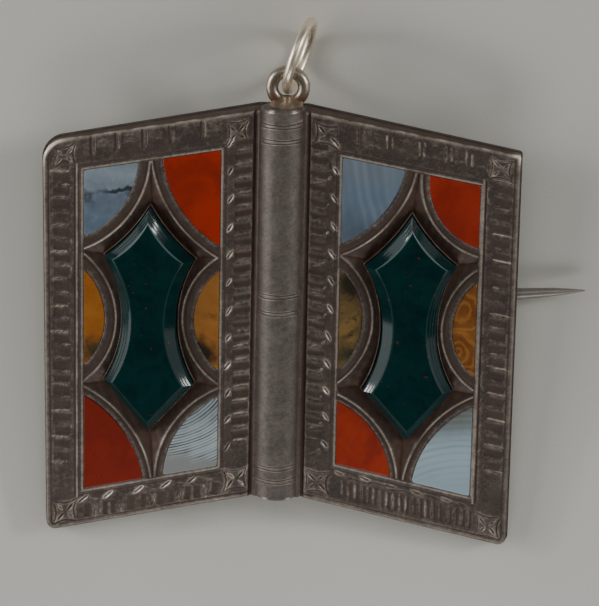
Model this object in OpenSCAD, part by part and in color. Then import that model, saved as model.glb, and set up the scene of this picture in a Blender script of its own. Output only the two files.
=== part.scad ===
// Open-book pebble brooch with a pendant loop: two silver covers that slope back from a
// half-round spine, each inlaid with six flush stones round a raised, bevelled green stone.
// The brooch is drawn flat, back plate on z = 0 and ring end towards +Y, and then laid down
// as it lies by itself: on its pin hinge, its catch and the two lower outer corners.

/* [Covers] */
// Distance from the middle line to the top edge at the spine
top_h = 17.32; // [15:0.02:19]
// Distance from the middle line to the bottom edge at the spine
bottom_h = 16.95; // [15:0.05:19]
// Distance from the middle of the spine to a cover's outer edge
cover_w = 20; // [18:0.2:22]
// How far the top edge falls from the spine to the outer edge
top_fall = 3.55; // [0:0.05:5]
// How far the bottom edge falls from the spine to the outer edge
bottom_fall = 4.4; // [0:0.1:5]
// Thickness of the book at the middle of the spine, without the round moulding
spine_t = 2.75; // [2.4:0.05:3.2]
// Thickness of a cover at its outer edge
edge_t = 1.4; // [1.2:0.05:1.8]
// How far the left cover's worn upper corner stands out past its lower one
left_flare = 0.26; // [0:0.02:0.4]
// Radius of the left cover's upper corner, which is worn round
worn_corner_r = 2.1; // [0.3:0.05:3]
// Radius of the right cover's upper corner
sharp_corner_r = 0.3; // [0.2:0.05:1]
// Radius of both lower corners
lower_corner_r = 0.7; // [0.3:0.05:1.5]

/* [Back plate] */
// Thickness of the plain sheet that closes the back
plate_t = 0.4; // [0.3:0.05:0.6]
// How far the sheet stands past the side walls
plate_lip = 0.12; // [0.05:0.01:0.2]

/* [Borders] */
// Width of the engraved border along the top of the left cover
left_border_top = 3.07; // [2.5:0.01:3.6]
// Width of the engraved border along the top of the right cover
right_border_top = 3.35; // [2.5:0.01:3.6]
// Width of the engraved border along the bottom of the left cover
left_border_bottom = 3.38; // [2.5:0.01:4.2]
// Width of the engraved border along the bottom of the right cover
right_border_bottom = 3.94; // [2.5:0.01:4.2]
// Width of the engraved border along the outer edge
border_outer = 3.35; // [2.8:0.05:3.8]
// Distance from the middle of the spine to the inlaid field
field_start = 5.05; // [4.8:0.01:5.4]
// Width of the plain rim that a cut line parts from the engraving
rim_w = 0.5; // [0.3:0.05:0.8]
// Width of that cut line
cut_line_w = 0.14; // [0.1:0.02:0.25]
// Depth of that cut line
cut_line_d = 0.12; // [0.05:0.01:0.2]

/* [Spine] */
// Radius of the half-round moulding
spine_r = 1.87; // [1.75:0.01:2]
// How far the moulding's middle lies below the front
spine_sunk = 0.76; // [0.5:0.02:1]
// Half the width of the flat strip that carries the moulding
strip_half = 2.0; // [1.9:0.05:2.1]
// Width of the sunk line between the strip and a cover
gap_line_w = 0.4; // [0.2:0.05:0.6]
// Depth of that line
gap_line_d = 0.5; // [0.2:0.05:0.8]
// Rounding of the moulding's two ends
spine_end_r = 0.45; // [0.2:0.05:0.8]
// Radius of the cut that makes each ring
ring_cut_r = 0.14; // [0.08:0.02:0.2]

/* [Inlays] */
// Depth of the pockets for the flush stones
pocket_d = 0.9; // [0.7:0.05:1]
// Gap between a stone and the silver round it
stone_gap = 0.04; // [0.02:0.01:0.08]
// Depth of the sunk ground round the green stone
ground_d = 0.4; // [0.3:0.05:0.6]
// Width of the raised bead at the edge of the sunk ground
bead_w = 0.2; // [0.15:0.01:0.3]
// Height of that bead above the cover
bead_h = 0.1; // [0.05:0.01:0.2]

/* [Green stones] */
// Distance from the middle of the spine to the middle of a green stone
stone_x = 10.98; // [10.6:0.02:11.4]
// Height of its middle above the middle of the spine
stone_y = -1.37; // [-2:0.01:0]
// Half the stone's length, from middle to tip
stone_tip = 9.95; // [9:0.05:10.5]
// Half its width at the four corners
stone_corner_x = 3.85; // [3.4:0.05:4.1]
// Half the length between its corners
stone_corner_y = 5.5; // [5:0.05:6]
// Half its width at the waist
stone_waist = 2.32; // [2:0.02:2.8]
// Sag of the two upper short sides
stone_sag = 0.3; // [0.1:0.05:0.5]
// Height of the table above the cover
table_h = 1.65; // [1.2:0.05:2]
// Width of the bevel round the table
bevel_w = 0.88; // [0.6:0.02:1.1]
// Thickness of the thin wall that holds the stone
bezel_t = 0.16; // [0.12:0.01:0.25]

/* [Loop and ring] */
// Outer diameter of the loop on the spine
loop_d = 3.7; // [3.4:0.05:4]
// Wire of the loop
loop_wire = 1.04; // [0.9:0.02:1.2]
// How far the loop sits to the right of the spine's middle
loop_x = 0.33; // [0:0.01:0.5]
// Distance from the middle of the brooch to the middle of the loop
loop_y = 18.85; // [18.7:0.01:19]
// Height of the loop's middle above the back
loop_z = 0.95; // [0.8:0.05:1.4]
// Outer diameter of the jump ring
jump_d = 6.8; // [6:0.1:7.5]
// Wire of the jump ring
jump_wire = 0.8; // [0.7:0.02:0.9]
// Angle by which the jump ring leans to the right of the spine
jump_lean = 16.8; // [10:0.2:22]
// Angle by which the ring's plane leans over from upright
jump_tip = 8; // [0:0.5:12]
// How far the ring is pulled through the loop from the loop's middle
jump_pull = -0.08; // [-0.2:0.02:0.2]
// How far the ring lies to the right of the loop's middle
jump_side = 0.1; // [-0.2:0.02:0.3]

/* [Brooch pin] */
// Thickness of the pin's stem
pin_d = 1.05; // [0.8:0.05:1.2]
// Length from the rivet to the point
pin_len = 41.46; // [38:0.02:44]
// Length of the tapered point
point_len = 6.6; // [4:0.1:9]
// Place of the rivet, left of the spine
hinge_x = 15.5; // [14:0.1:17]
// Place of the rivet, below the middle
hinge_y = 2.15; // [1.5:0.05:3]
// Distance from the back to the middle of the rivet
pin_depth = 0.95; // [0.9:0.05:1.2]
// Angle of the free pin to the width of the brooch
pin_turn = 5; // [3:0.1:7]
// Sideways angle from free to hooked in the catch
latch_turn = 1.8; // [1.6:0.1:2.4]
// Radius of the rivet
rivet_r = 0.27; // [0.25:0.01:0.35]
// Running gap between the rivet and a hole
rivet_gap = 0.05; // [0.02:0.01:0.08]
// Outer radius of the hinge's ears and of the pin's eye
ear_r = 0.7; // [0.65:0.01:0.9]
// Thickness of one ear
ear_t = 0.7; // [0.6:0.05:1.2]
// Thickness of the pin's eye
eye_t = 1.1; // [0.9:0.05:1.3]
// Gap beside the eye
eye_gap = 0.12; // [0.08:0.01:0.2]
// Distance from the rivet to the middle of the catch
catch_reach = 30.8; // [29:0.1:33]
// Width of the catch's strip
catch_w = 2.4; // [1.8:0.1:3.2]
// Thickness of the catch's strip
catch_t = 0.45; // [0.35:0.05:0.5]
// Length of the flat lip at the open end of its hook
catch_lip = 0.35; // [0.2:0.05:0.5]

/* [Hidden] */

left = -1;
right = 1;
inner = 0;
outer = 1;
upper = 1;
lower = -1;
fine = 96;
more = 1;

tarnished = [0.40, 0.36, 0.33];
bright = [0.80, 0.78, 0.72];
green = [0.02, 0.20, 0.19];
red = [0.66, 0.13, 0.04];
blue = [0.46, 0.53, 0.62];
pale_blue = [0.62, 0.71, 0.76];
orange = [0.70, 0.42, 0.10];
olive = [0.50, 0.38, 0.14];

// Covers and field, in a cover's own plane: u runs outward from the spine, v up the spine
slope = atan((spine_t - edge_t) / cover_w);
field_end = cover_w - border_outer;
fall_start = strip_half;
fall_run = cover_w - fall_start;
function top_edge(u) = top_h - top_fall * (u - fall_start) / fall_run;
function bottom_edge(u) = -bottom_h - bottom_fall * (u - fall_start) / fall_run;
function field_top(side, u) = top_edge(u) - (side == left ? left_border_top : right_border_top);
function field_bottom(side, u) = bottom_edge(u) + (side == left ? left_border_bottom : right_border_bottom);

// The six flush stones of a cover, fitted by hand, so no two are alike. Corner stones: how far
// each runs along the side and along the end of the field, how far its curved side bulges, and
// the width of the silver strip round it. Side stones: the height of the middle, the length
// along the side, the bulge and the strip.
left_corner_stones = [
    // column, row, run along the side, run along the end, bulge, strip
    [outer, upper, 5.84, 4.67, 1.10, 0.88],
    [inner, upper, 8.43, 4.95, 1.08, 0.88],
    [outer, lower, 8.61, 5.17, 1.08, 0.62],
    [inner, lower, 6.32, 4.73, 1.18, 0.64]
];
right_corner_stones = [
    [outer, upper, 5.55, 4.31, 1.35, 0.66],
    [inner, upper, 7.53, 5.30, 1.03, 0.85],
    [outer, lower, 8.21, 5.05, 1.08, 0.72],
    [inner, lower, 5.76, 4.73, 1.12, 0.58]
];
left_side_stones = [
    // column, middle, length, bulge, strip
    [outer, -1.60, 8.73, 1.82, 0.88],
    [inner, -1.26, 9.00, 2.20, 0.86]
];
right_side_stones = [
    [outer, -1.60, 8.50, 2.00, 0.78],
    [inner, -0.80, 9.00, 2.00, 0.78]
];
ring_pairs = [
    // the two rings of each pair, measured from the middle of the spine
    [16.1, 14.8], [1.4, -0.1], [-13.9, -15.1]
];

function column_u(column) = column == outer ? field_end : field_start;
function column_sign(column) = column == outer ? 1 : -1;

// Circle through a and b that bulges to the left of the way from a to b: [centre, radius]
function bulge_circle(a, b, bulge) =
    let (chord = b - a, half = norm(chord) / 2)
    let (radius = (half * half + bulge * bulge) / (2 * bulge))
    let (leftward = [-chord.y, chord.x] / norm(chord))
    [(a + b) / 2 - leftward * (radius - bulge), radius];

// Points of that bulging arc from a up to, and without, b
function bulge_arc(a, b, bulge, steps) =
    let (circle_ab = bulge_circle(a, b, bulge), c = circle_ab[0], radius = circle_ab[1])
    let (start = atan2(a.y - c.y, a.x - c.x), sweep = 2 * asin(norm(b - a) / 2 / radius))
    [for (i = [0 : steps - 1]) c + radius * [cos(start - sweep * i / steps), sin(start - sweep * i / steps)]];

// Circle of a corner stone's curved side, with the strip round it: [centre, radius, strip]
function corner_circle(side, stone) =
    let (u = column_u(stone[0]), away = -column_sign(stone[0]))
    let (end_u = u + away * stone[3])
    let (on_side = [u, (stone[1] == upper ? field_top(side, u) : field_bottom(side, u)) - stone[1] * stone[2]])
    let (on_end = [end_u, stone[1] == upper ? field_top(side, end_u) : field_bottom(side, end_u)])
    concat(
        stone[1] * away > 0
            ? bulge_circle(on_end, on_side, stone[4])
            : bulge_circle(on_side, on_end, stone[4]),
        [stone[5]]
    );

// Circle of a side stone's curved side
function side_circle(stone) =
    let (u = column_u(stone[0]), reach = stone[2] / 2)
    concat(
        stone[0] == outer
            ? bulge_circle([u, stone[1] - reach], [u, stone[1] + reach], stone[3])
            : bulge_circle([u, stone[1] + reach], [u, stone[1] - reach], stone[3]),
        [stone[4]]
    );

left_circles = concat(
    [for (stone = left_corner_stones) corner_circle(left, stone)],
    [for (stone = left_side_stones) side_circle(stone)]
);
right_circles = concat(
    [for (stone = right_corner_stones) corner_circle(right, stone)],
    [for (stone = right_side_stones) side_circle(stone)]
);
function stone_circles(side) = side == left ? left_circles : right_circles;

// Outline of a green stone, drawn in by inset all round; its two lower short sides are straight
function stone_outline(inset, steps) =
    let (low_shift = 0.07 + 0.95 * (stone_tip - stone_corner_y) / stone_corner_x)
    let (tip = [0, stone_tip - 1.3 * inset], low_tip = [0, low_shift * inset - stone_tip])
    let (corner = [stone_corner_x - 0.95 * inset, stone_corner_y - 0.07 * inset])
    let (waist_sag = corner.x - (stone_waist - inset))
    let (left_up = [-corner.x, corner.y], left_low = -corner, right_low = [corner.x, -corner.y])
    [for (p = concat(
        bulge_arc(tip, left_up, stone_sag, steps),
        bulge_arc(left_up, left_low, waist_sag, steps),
        [left_low, low_tip],
        bulge_arc(right_low, corner, waist_sag, steps),
        bulge_arc(corner, tip, stone_sag, steps)
    )) p + [stone_x, stone_y]];

// Corner at p, rounded by radius r, between the ways to the points before and after it
function round_corner(before, p, after, r, steps = 6) =
    let (to_before = (before - p) / norm(before - p), to_after = (after - p) / norm(after - p))
    let (half_angle = acos(to_before * to_after) / 2)
    let (middle = (to_before + to_after) / norm(to_before + to_after))
    let (c = p + middle * r / sin(half_angle))
    let (first = p + to_before * r / tan(half_angle) - c)
    let (last = p + to_after * r / tan(half_angle) - c)
    let (from = atan2(first.y, first.x), turn = 180 - 2 * half_angle)
    let (way = first.x * last.y - first.y * last.x > 0 ? 1 : -1)
    [for (i = [0 : steps]) c + r * [cos(from + way * turn * i / steps), sin(from + way * turn * i / steps)]];

// One cover with its half of the spine, drawn in by inset along its three free edges
function cover_outline(side, inset) =
    let (upper_r = side == left ? worn_corner_r : sharp_corner_r)
    let (edge_u = cover_w - inset, top_u = edge_u + (side == left ? left_flare : 0))
    let (top_in = [fall_start, top_h - inset], bottom_in = [fall_start, inset - bottom_h])
    let (top_out = [top_u, top_edge(top_u) - inset], bottom_out = [edge_u, bottom_edge(edge_u) + inset])
    concat(
        [[0, inset - bottom_h], bottom_in],
        round_corner(bottom_in, bottom_out, top_out, lower_corner_r),
        round_corner(bottom_out, top_out, top_in, upper_r),
        [top_in, [0, top_h - inset]]
    );

// Placing of the laid-down brooch
eye_half = eye_t / 2 + eye_gap;
hinge_reach = pin_depth + ear_r;
hinge_low_y = -hinge_y - (eye_half + ear_t) * cos(pin_turn);
lowest_y = min([for (p = cover_outline(right, 0)) p.y]);
lie_tilt = atan(hinge_reach / (hinge_low_y - lowest_y));
catch_y = catch_reach * sin(pin_turn + latch_turn) - hinge_y;
catch_x = catch_reach * cos(pin_turn + latch_turn) - hinge_x;
catch_low_y = catch_y - catch_lip - catch_w / 2 * sin(pin_turn + latch_turn);
catch_low = (catch_low_y - lowest_y) * tan(lie_tilt);
hook_r = catch_low - pin_depth - catch_t;
lift = -lowest_y * sin(lie_tilt);

// Jump ring: it stands on the table and passes through the loop
jump_r = (jump_d - jump_wire) / 2;
jump_lowering = (loop_y * sin(lie_tilt) + loop_z * cos(lie_tilt) + lift
    - jump_r * cos(jump_tip) - jump_wire / 2) / jump_r;
jump_turn = asin(jump_lowering / cos(jump_tip));
loop_at = [loop_x, loop_y * cos(lie_tilt) - loop_z * sin(lie_tilt)];
jump_out = jump_r * cos(jump_turn) + jump_pull;
jump_at = loop_at + jump_out * [sin(jump_lean), cos(jump_lean)]
    + jump_side * [cos(jump_lean), -sin(jump_lean)];
jump_lift = jump_r * cos(jump_tip) + jump_wire / 2;

// Middle of the laid-down brooch's box, which is set over the origin
pin_point_x = pin_len * cos(pin_turn) - hinge_x;
left_reach = max([for (p = cover_outline(left, 0)) p.x]);
mid_x = (pin_point_x - left_reach) / 2;
far_y = jump_at.y + jump_r * sqrt(1 - pow(sin(jump_lean) * cos(jump_tip), 2)) + jump_wire / 2;
near_y = lowest_y * cos(lie_tilt) - plate_t * sin(lie_tilt);
mid_y = (far_y + near_y) / 2;

module lay_down() {
    translate([-mid_x, -mid_y, lift])
        rotate([lie_tilt, 0, 0])
            children();
}

// Moves a shape drawn on z = 0 of a cover's own plane onto that cover
module on_cover(side) {
    mirror([side == left ? 1 : 0, 0, 0])
        translate([0, 0, spine_t])
            rotate([0, slope, 0])
                children();
}

module field(side, inset = 0) {
    polygon([
        [field_start + inset, field_bottom(side, field_start) + inset],
        [field_end - inset, field_bottom(side, field_end) + inset],
        [field_end - inset, field_top(side, field_end) - inset],
        [field_start + inset, field_top(side, field_start) - inset]
    ]);
}

// One flush stone or its pocket, drawn in by inset all round
module flush_shape(side, circle_uv, inset) {
    intersection() {
        field(side, inset);
        translate(circle_uv[0])
            circle(r = circle_uv[1] - inset, $fn = fine);
    }
}

// The sunk six-pointed ground round the green stone
module ground_shape(side) {
    difference() {
        field(side);
        for (circle_uv = stone_circles(side))
            translate(circle_uv[0])
                circle(r = circle_uv[1] + circle_uv[2], $fn = fine);
    }
}

// The raised beads along the edge of the sunk ground
module bead_shape(side) {
    intersection() {
        field(side);
        union() {
            for (circle_uv = stone_circles(side))
                translate(circle_uv[0])
                    difference() {
                        circle(r = circle_uv[1] + circle_uv[2], $fn = fine);
                        circle(r = circle_uv[1] + circle_uv[2] - bead_w, $fn = fine);
                    }
        }
    }
}

// Cut line that parts the plain rim from the engraving
module rim_line_shape(side) {
    difference() {
        polygon(cover_outline(side, plate_lip + rim_w));
        polygon(cover_outline(side, plate_lip + rim_w + cut_line_w));
        square([2 * strip_half + more, 4 * top_h], center = true);
    }
}

module book_outline(inset) {
    polygon(cover_outline(right, inset));
    mirror([1, 0])
        polygon(cover_outline(left, inset));
}

// Walls and front of both covers: as thick as the book in the middle, thin at the outer edges
module cover_block() {
    far = cover_w + more;
    far_z = spine_t - far * tan(slope);
    intersection() {
        linear_extrude(spine_t + more)
            book_outline(plate_lip);
        translate([0, 2 * top_h, 0])
            rotate([90, 0, 0])
                linear_extrude(4 * top_h)
                    polygon([[-far, 0], [far, 0], [far, far_z], [0, spine_t], [-far, far_z]]);
    }
}

module back_plate() {
    linear_extrude(plate_t)
        book_outline(0);
}

// Flat strip and half-round moulding with three pairs of cut rings
module spine() {
    top_end = top_h - plate_lip;
    bottom_end = bottom_h - plate_lip;
    span = top_end + bottom_end;
    translate([-strip_half, -bottom_end, plate_t])
        cube([2 * strip_half, span, spine_t - plate_t]);
    translate([0, 0, spine_t - spine_sunk])
        rotate([-90, 0, 0])
            rotate_extrude($fn = fine)
                difference() {
                    union() {
                        translate([0, spine_end_r - bottom_end])
                            square([spine_r, span - 2 * spine_end_r]);
                        translate([0, -bottom_end])
                            square([spine_r - spine_end_r, span]);
                        for (end_mid = [top_end - spine_end_r, spine_end_r - bottom_end])
                            translate([spine_r - spine_end_r, end_mid])
                                circle(r = spine_end_r, $fn = fine);
                    }
                    for (pair = ring_pairs)
                        for (ring_y = pair)
                            translate([spine_r, ring_y])
                                circle(r = ring_cut_r, $fn = 24);
                }
}

// Closed loop of wire with its soldered foot, flat above the spine's end
module wire_loop() {
    foot_d = 1.2;
    foot_y = top_h - more / 2;
    foot_end = loop_y - (loop_d - loop_wire / 2) / 2;
    translate([loop_x, loop_y, loop_z])
        rotate_extrude($fn = fine)
            translate([(loop_d - loop_wire) / 2, 0])
                circle(d = loop_wire, $fn = 32);
    translate([loop_x, foot_y, loop_z])
        rotate([-90, 0, 0])
            cylinder(h = foot_end - foot_y, d = foot_d, $fn = 48);
}

// Frame of the pin: the rivet on the origin and the free pin along +X, below the back plate
module at_hinge() {
    translate([-hinge_x, -hinge_y, -pin_depth])
        rotate([0, 0, pin_turn])
            children();
}

// Two ears that hold the rivet, with the foot that is soldered to the back
module hinge_ears() {
    foot_t = 0.1;
    at_hinge()
        for (end = [-1, 1])
            translate([0, end * (eye_half + ear_t / 2), 0])
                difference() {
                    union() {
                        rotate([90, 0, 0])
                            cylinder(h = ear_t, r = ear_r, center = true, $fn = fine);
                        translate([-ear_r, -ear_t / 2, 0])
                            cube([2 * ear_r, ear_t, pin_depth + foot_t]);
                    }
                    rotate([90, 0, 0])
                        cylinder(h = ear_t + more, r = rivet_r + rivet_gap, center = true, $fn = fine);
                }
}

// Hook of bent strip, open on the side where the free pin lies
module catch_hook() {
    outer_r = hook_r + catch_t;
    foot_h = pin_depth + 0.1;
    translate([catch_x, catch_y, -pin_depth])
        rotate([90, 0, 90 + pin_turn + latch_turn])
            linear_extrude(catch_w, center = true)
                union() {
                    difference() {
                        circle(r = outer_r, $fn = fine);
                        circle(r = hook_r, $fn = fine);
                        translate([-2 * outer_r, -outer_r - more])
                            square([2 * outer_r, 2 * (outer_r + more)]);
                    }
                    translate([-catch_lip, -outer_r])
                        square([catch_lip + 0.01, catch_t]);
                    translate([hook_r, 0])
                        square([catch_t, foot_h]);
                }
}

module silver_case() {
    color(tarnished)
        lay_down() {
            difference() {
                union() {
                    back_plate();
                    cover_block();
                    for (side = [left, right])
                        on_cover(side)
                            linear_extrude(bead_h)
                                bead_shape(side);
                }
                for (side = [left, right]) {
                    on_cover(side) {
                        translate([0, 0, -ground_d])
                            linear_extrude(ground_d + more)
                                ground_shape(side);
                        for (circle_uv = stone_circles(side))
                            translate([0, 0, -pocket_d])
                                linear_extrude(pocket_d + more)
                                    flush_shape(side, circle_uv, 0);
                        translate([0, 0, -pocket_d])
                            linear_extrude(pocket_d + more)
                                polygon(stone_outline(0, 10));
                        translate([0, 0, -cut_line_d])
                            linear_extrude(cut_line_d + more)
                                rim_line_shape(side);
                    }
                    translate([side * (strip_half + gap_line_w / 2), 0, spine_t])
                        cube([gap_line_w, 4 * top_h, 2 * gap_line_d], center = true);
                }
            }
            for (side = [left, right])
                on_cover(side)
                    translate([0, 0, -ground_d])
                        linear_extrude(ground_d + bead_h)
                            difference() {
                                polygon(stone_outline(-bezel_t, 10));
                                polygon(stone_outline(0, 10));
                            }
            spine();
            wire_loop();
            hinge_ears();
            catch_hook();
        }
}

// A bevelled stone: straight girdle in its seat, one wide bevel and a flat table
module green_stone(side) {
    steps = 10;
    levels = [
        // inset, height above the cover
        [stone_gap, -pocket_d + stone_gap],
        [stone_gap, 0.25],
        [0.1 * bevel_w, 0.42],
        [bevel_w - 0.06, table_h - 0.07],
        [bevel_w + 0.06, table_h]
    ];
    count = 4 * steps + 2;
    points = [for (level = levels) for (p = stone_outline(level[0], steps)) [p.x, p.y, level[1]]];
    sides = [for (k = [0 : len(levels) - 2]) for (i = [0 : count - 1])
        [k * count + i, (k + 1) * count + i, (k + 1) * count + (i + 1) % count, k * count + (i + 1) % count]];
    base = [for (i = [0 : count - 1]) i];
    table = [for (i = [0 : count - 1]) len(levels) * count - 1 - i];
    color(green)
        lay_down()
            on_cover(side)
                polyhedron(points, concat([base, table], sides), convexity = 4);
}

// A flush stone, level with the cover
module flush_stone(side, circle_uv, stone_colour) {
    color(stone_colour)
        lay_down()
            on_cover(side)
                translate([0, 0, -pocket_d + stone_gap])
                    linear_extrude(pocket_d - stone_gap)
                        flush_shape(side, circle_uv, stone_gap);
}

module jump_ring() {
    color(bright)
        translate([jump_at.x - mid_x, jump_at.y - mid_y, jump_lift])
            rotate([0, 0, -jump_lean])
                rotate([0, -jump_tip, 0])
                    rotate([0, 90, 0])
                        rotate_extrude($fn = fine)
                            translate([jump_r, 0])
                                circle(d = jump_wire, $fn = 32);
}

module pin_rivet() {
    color(tarnished)
        lay_down()
            at_hinge()
                rotate([90, 0, 0])
                    cylinder(h = 2 * (eye_half + ear_t), r = rivet_r, center = true, $fn = fine);
}

// Eye on the rivet, straight stem and a point that tapers in two steps
module pin_stem() {
    shoulder = pin_len - point_len;
    mid_point = pin_len - 0.4 * point_len;
    color(tarnished)
        lay_down()
            at_hinge()
                difference() {
                    union() {
                        rotate([90, 0, 0])
                            cylinder(h = eye_t, r = ear_r, center = true, $fn = fine);
                        rotate([0, 90, 0]) {
                            cylinder(h = shoulder, d = pin_d, $fn = 48);
                            translate([0, 0, shoulder])
                                cylinder(h = mid_point - shoulder, d1 = pin_d, d2 = 0.7 * pin_d, $fn = 48);
                            translate([0, 0, mid_point])
                                cylinder(h = pin_len - mid_point, d1 = 0.7 * pin_d, d2 = 0.12, $fn = 48);
                        }
                    }
                    rotate([90, 0, 0])
                        cylinder(h = eye_t + more, r = rivet_r + rivet_gap, center = true, $fn = fine);
                }
}

silver_case();
green_stone(left);  // left_green_stone
green_stone(right);  // right_green_stone
flush_stone(left, left_circles[0], blue);  // left_upper_outer_blue_agate
flush_stone(left, left_circles[1], red);  // left_upper_inner_red_jasper
flush_stone(left, left_circles[2], red);  // left_lower_outer_red_jasper
flush_stone(left, left_circles[3], pale_blue);  // left_lower_inner_banded_agate
flush_stone(left, left_circles[4], orange);  // left_outer_side_moss_agate
flush_stone(left, left_circles[5], orange);  // left_inner_side_moss_agate
flush_stone(right, right_circles[0], red);  // right_upper_outer_red_jasper
flush_stone(right, right_circles[1], blue);  // right_upper_inner_blue_agate
flush_stone(right, right_circles[2], pale_blue);  // right_lower_outer_banded_agate
flush_stone(right, right_circles[3], red);  // right_lower_inner_red_jasper
flush_stone(right, right_circles[4], orange);  // right_outer_side_orange_agate
flush_stone(right, right_circles[5], olive);  // right_inner_side_moss_agate
jump_ring();
pin_rivet();
pin_stem();
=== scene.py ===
import math

import bpy
import numpy as np
from mathutils import Matrix, Vector


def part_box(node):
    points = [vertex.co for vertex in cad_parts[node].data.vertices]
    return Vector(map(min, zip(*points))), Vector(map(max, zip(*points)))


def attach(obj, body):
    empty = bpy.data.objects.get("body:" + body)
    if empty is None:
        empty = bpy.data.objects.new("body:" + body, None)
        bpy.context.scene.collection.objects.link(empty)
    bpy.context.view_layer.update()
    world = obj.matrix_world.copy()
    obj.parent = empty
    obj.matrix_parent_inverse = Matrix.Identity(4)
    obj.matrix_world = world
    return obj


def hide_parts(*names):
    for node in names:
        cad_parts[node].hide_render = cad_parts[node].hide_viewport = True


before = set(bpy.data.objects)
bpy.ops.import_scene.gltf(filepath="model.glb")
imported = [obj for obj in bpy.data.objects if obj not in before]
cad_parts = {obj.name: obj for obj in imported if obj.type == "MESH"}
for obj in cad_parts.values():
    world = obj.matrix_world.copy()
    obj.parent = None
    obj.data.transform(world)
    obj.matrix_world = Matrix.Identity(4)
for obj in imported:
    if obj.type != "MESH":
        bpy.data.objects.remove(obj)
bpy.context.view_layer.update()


# The sheet back
# A plain sheet of silver closes the back of the book and stands a hair past the side walls, where
# it is soldered on. It is scuffed from wear. Like every piece it is drawn flat in millimetres, as
# on the bench, and then laid on the table, tipped up at the ring end by the hinge and the catch.
COVER_W, TOP_H, BOTTOM_H = 20.0, 17.32, 16.95
TOP_FALL, BOTTOM_FALL = 3.55 / 18, 4.4 / 18
SPINE_T, EDGE_T, STRIP = 2.75, 1.4, 2.0
SLOPE = math.atan((SPINE_T - EDGE_T) / COVER_W)
SHEET_T, LIP = 0.4, 0.12
LEFT, RIGHT = -1, 1
FLARE = {LEFT: 0.26, RIGHT: 0.0}
UPPER_CORNER, LOWER_CORNER = {LEFT: 2.1, RIGHT: 0.3}, 0.7
SHEET_EDGE = ((0.07, 0.0), (0.02, 0.02), (0.004, 0.07))

EAR_R, PIN_DEPTH = 0.7, 0.95
RIVET = np.array([-15.5, -2.15, -PIN_DEPTH])
EAR_TO_LOWEST_CORNER = 17.642146
LIE_TILT = math.atan((PIN_DEPTH + EAR_R) / EAR_TO_LOWEST_CORNER)
lying = np.array(Matrix.Rotation(LIE_TILT, 3, "X"))


def middle_of(node):
    """The middle of a CAD node on the table, in millimetres."""
    low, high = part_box(node)
    return np.array((low + high) / 2) * 1000


rivet_on_table = middle_of("pin_rivet")


def laid(points):
    """Points on the bench, in millimetres, as metres on the table."""
    return ((np.asarray(points, float) - RIVET) @ lying.T + rivet_on_table) / 1000


def top_edge(u):
    return TOP_H - TOP_FALL * np.maximum(np.asarray(u, float) - STRIP, 0)


def bottom_edge(u):
    return -BOTTOM_H - BOTTOM_FALL * np.maximum(np.asarray(u, float) - STRIP, 0)


def make_piece(name, points, faces, material, slot="tarnished_silver", body="case", node="silver_case",
               crease=None, **marks):
    """One object from bench points; marks are per-point values that its material reads."""
    mesh = bpy.data.meshes.new(name)
    mesh.from_pydata(laid(points).tolist(), [], [list(map(int, face)) for face in faces])
    for mark, values in marks.items():
        layer = mesh.attributes.new(mark, "FLOAT", "POINT")
        layer.data.foreach_set("value", np.asarray(values, np.float32))
    mesh.validate()
    mesh.shade_smooth()
    if crease:
        mesh.set_sharp_from_angle(angle=math.radians(crease))
    mesh.materials.append(material)
    piece = bpy.data.objects.new(name, mesh)
    bpy.context.scene.collection.objects.link(piece)
    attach(piece, body)
    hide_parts(node)


def inset(loop, distance):
    """A closed flat loop drawn in by a distance, counter-clockwise seen from the front."""
    before, after = np.roll(loop, 1, 0), np.roll(loop, -1, 0)

    def inward(a, b):
        way = (b - a) / np.linalg.norm(b - a, axis=1, keepdims=True)
        return np.stack([-way[:, 1], way[:, 0]], 1)

    first, second = inward(before, loop), inward(loop, after)
    share = 1 + np.sum(first * second, 1, keepdims=True)
    return loop + distance * (first + second) / np.maximum(share, 0.25)


def skin(loops, capped=True):
    """Points and faces over a stack of equal closed loops, from the lowest to the highest."""
    count = len(loops[0])
    faces = []
    for low in range(0, (len(loops) - 1) * count, count):
        for i in range(count):
            j = (i + 1) % count
            faces.append((low + i, low + j, low + count + j, low + count + i))
    if capped:
        top = (len(loops) - 1) * count
        faces += [tuple(range(count - 1, -1, -1)), tuple(range(top, top + count))]
    return np.concatenate(loops), faces


def plate(loop, levels):
    """A flat plate with shaped edges: how far its outline is drawn in at each height."""
    return skin([np.column_stack([inset(loop, drawn_in), np.full(len(loop), height)])
                 for drawn_in, height in levels])


def rounded_corner(before, corner, after, radius):
    """Points round a corner between two straight edges."""
    before, corner, after = (np.array(p, float) for p in (before, corner, after))
    way_in = (before - corner) / np.linalg.norm(before - corner)
    way_out = (after - corner) / np.linalg.norm(after - corner)
    half = math.acos(way_in @ way_out) / 2
    centre = corner + (way_in + way_out) / np.linalg.norm(way_in + way_out) * radius / math.sin(half)
    first = corner + way_in * radius / math.tan(half) - centre
    last = corner + way_out * radius / math.tan(half) - centre
    start = math.atan2(first[1], first[0])
    turn = (math.atan2(last[1], last[0]) - start + math.pi) % (2 * math.pi) - math.pi
    angles = start + turn * np.linspace(0, 1, 9)
    return [centre + radius * np.array([math.cos(a), math.sin(a)]) for a in angles]


def half_outline(side):
    """One cover's free edges, drawn to the right, from the bottom of the spine to its top."""
    low_in, high_in = (STRIP, -BOTTOM_H), (STRIP, TOP_H)
    wide = COVER_W + FLARE[side]
    low_out, high_out = (COVER_W, float(bottom_edge(COVER_W))), (wide, float(top_edge(wide)))
    return [np.array(low_in), *rounded_corner(low_in, low_out, high_out, LOWER_CORNER),
            *rounded_corner(low_out, high_out, high_in, UPPER_CORNER[side]), np.array(high_in)]


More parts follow.
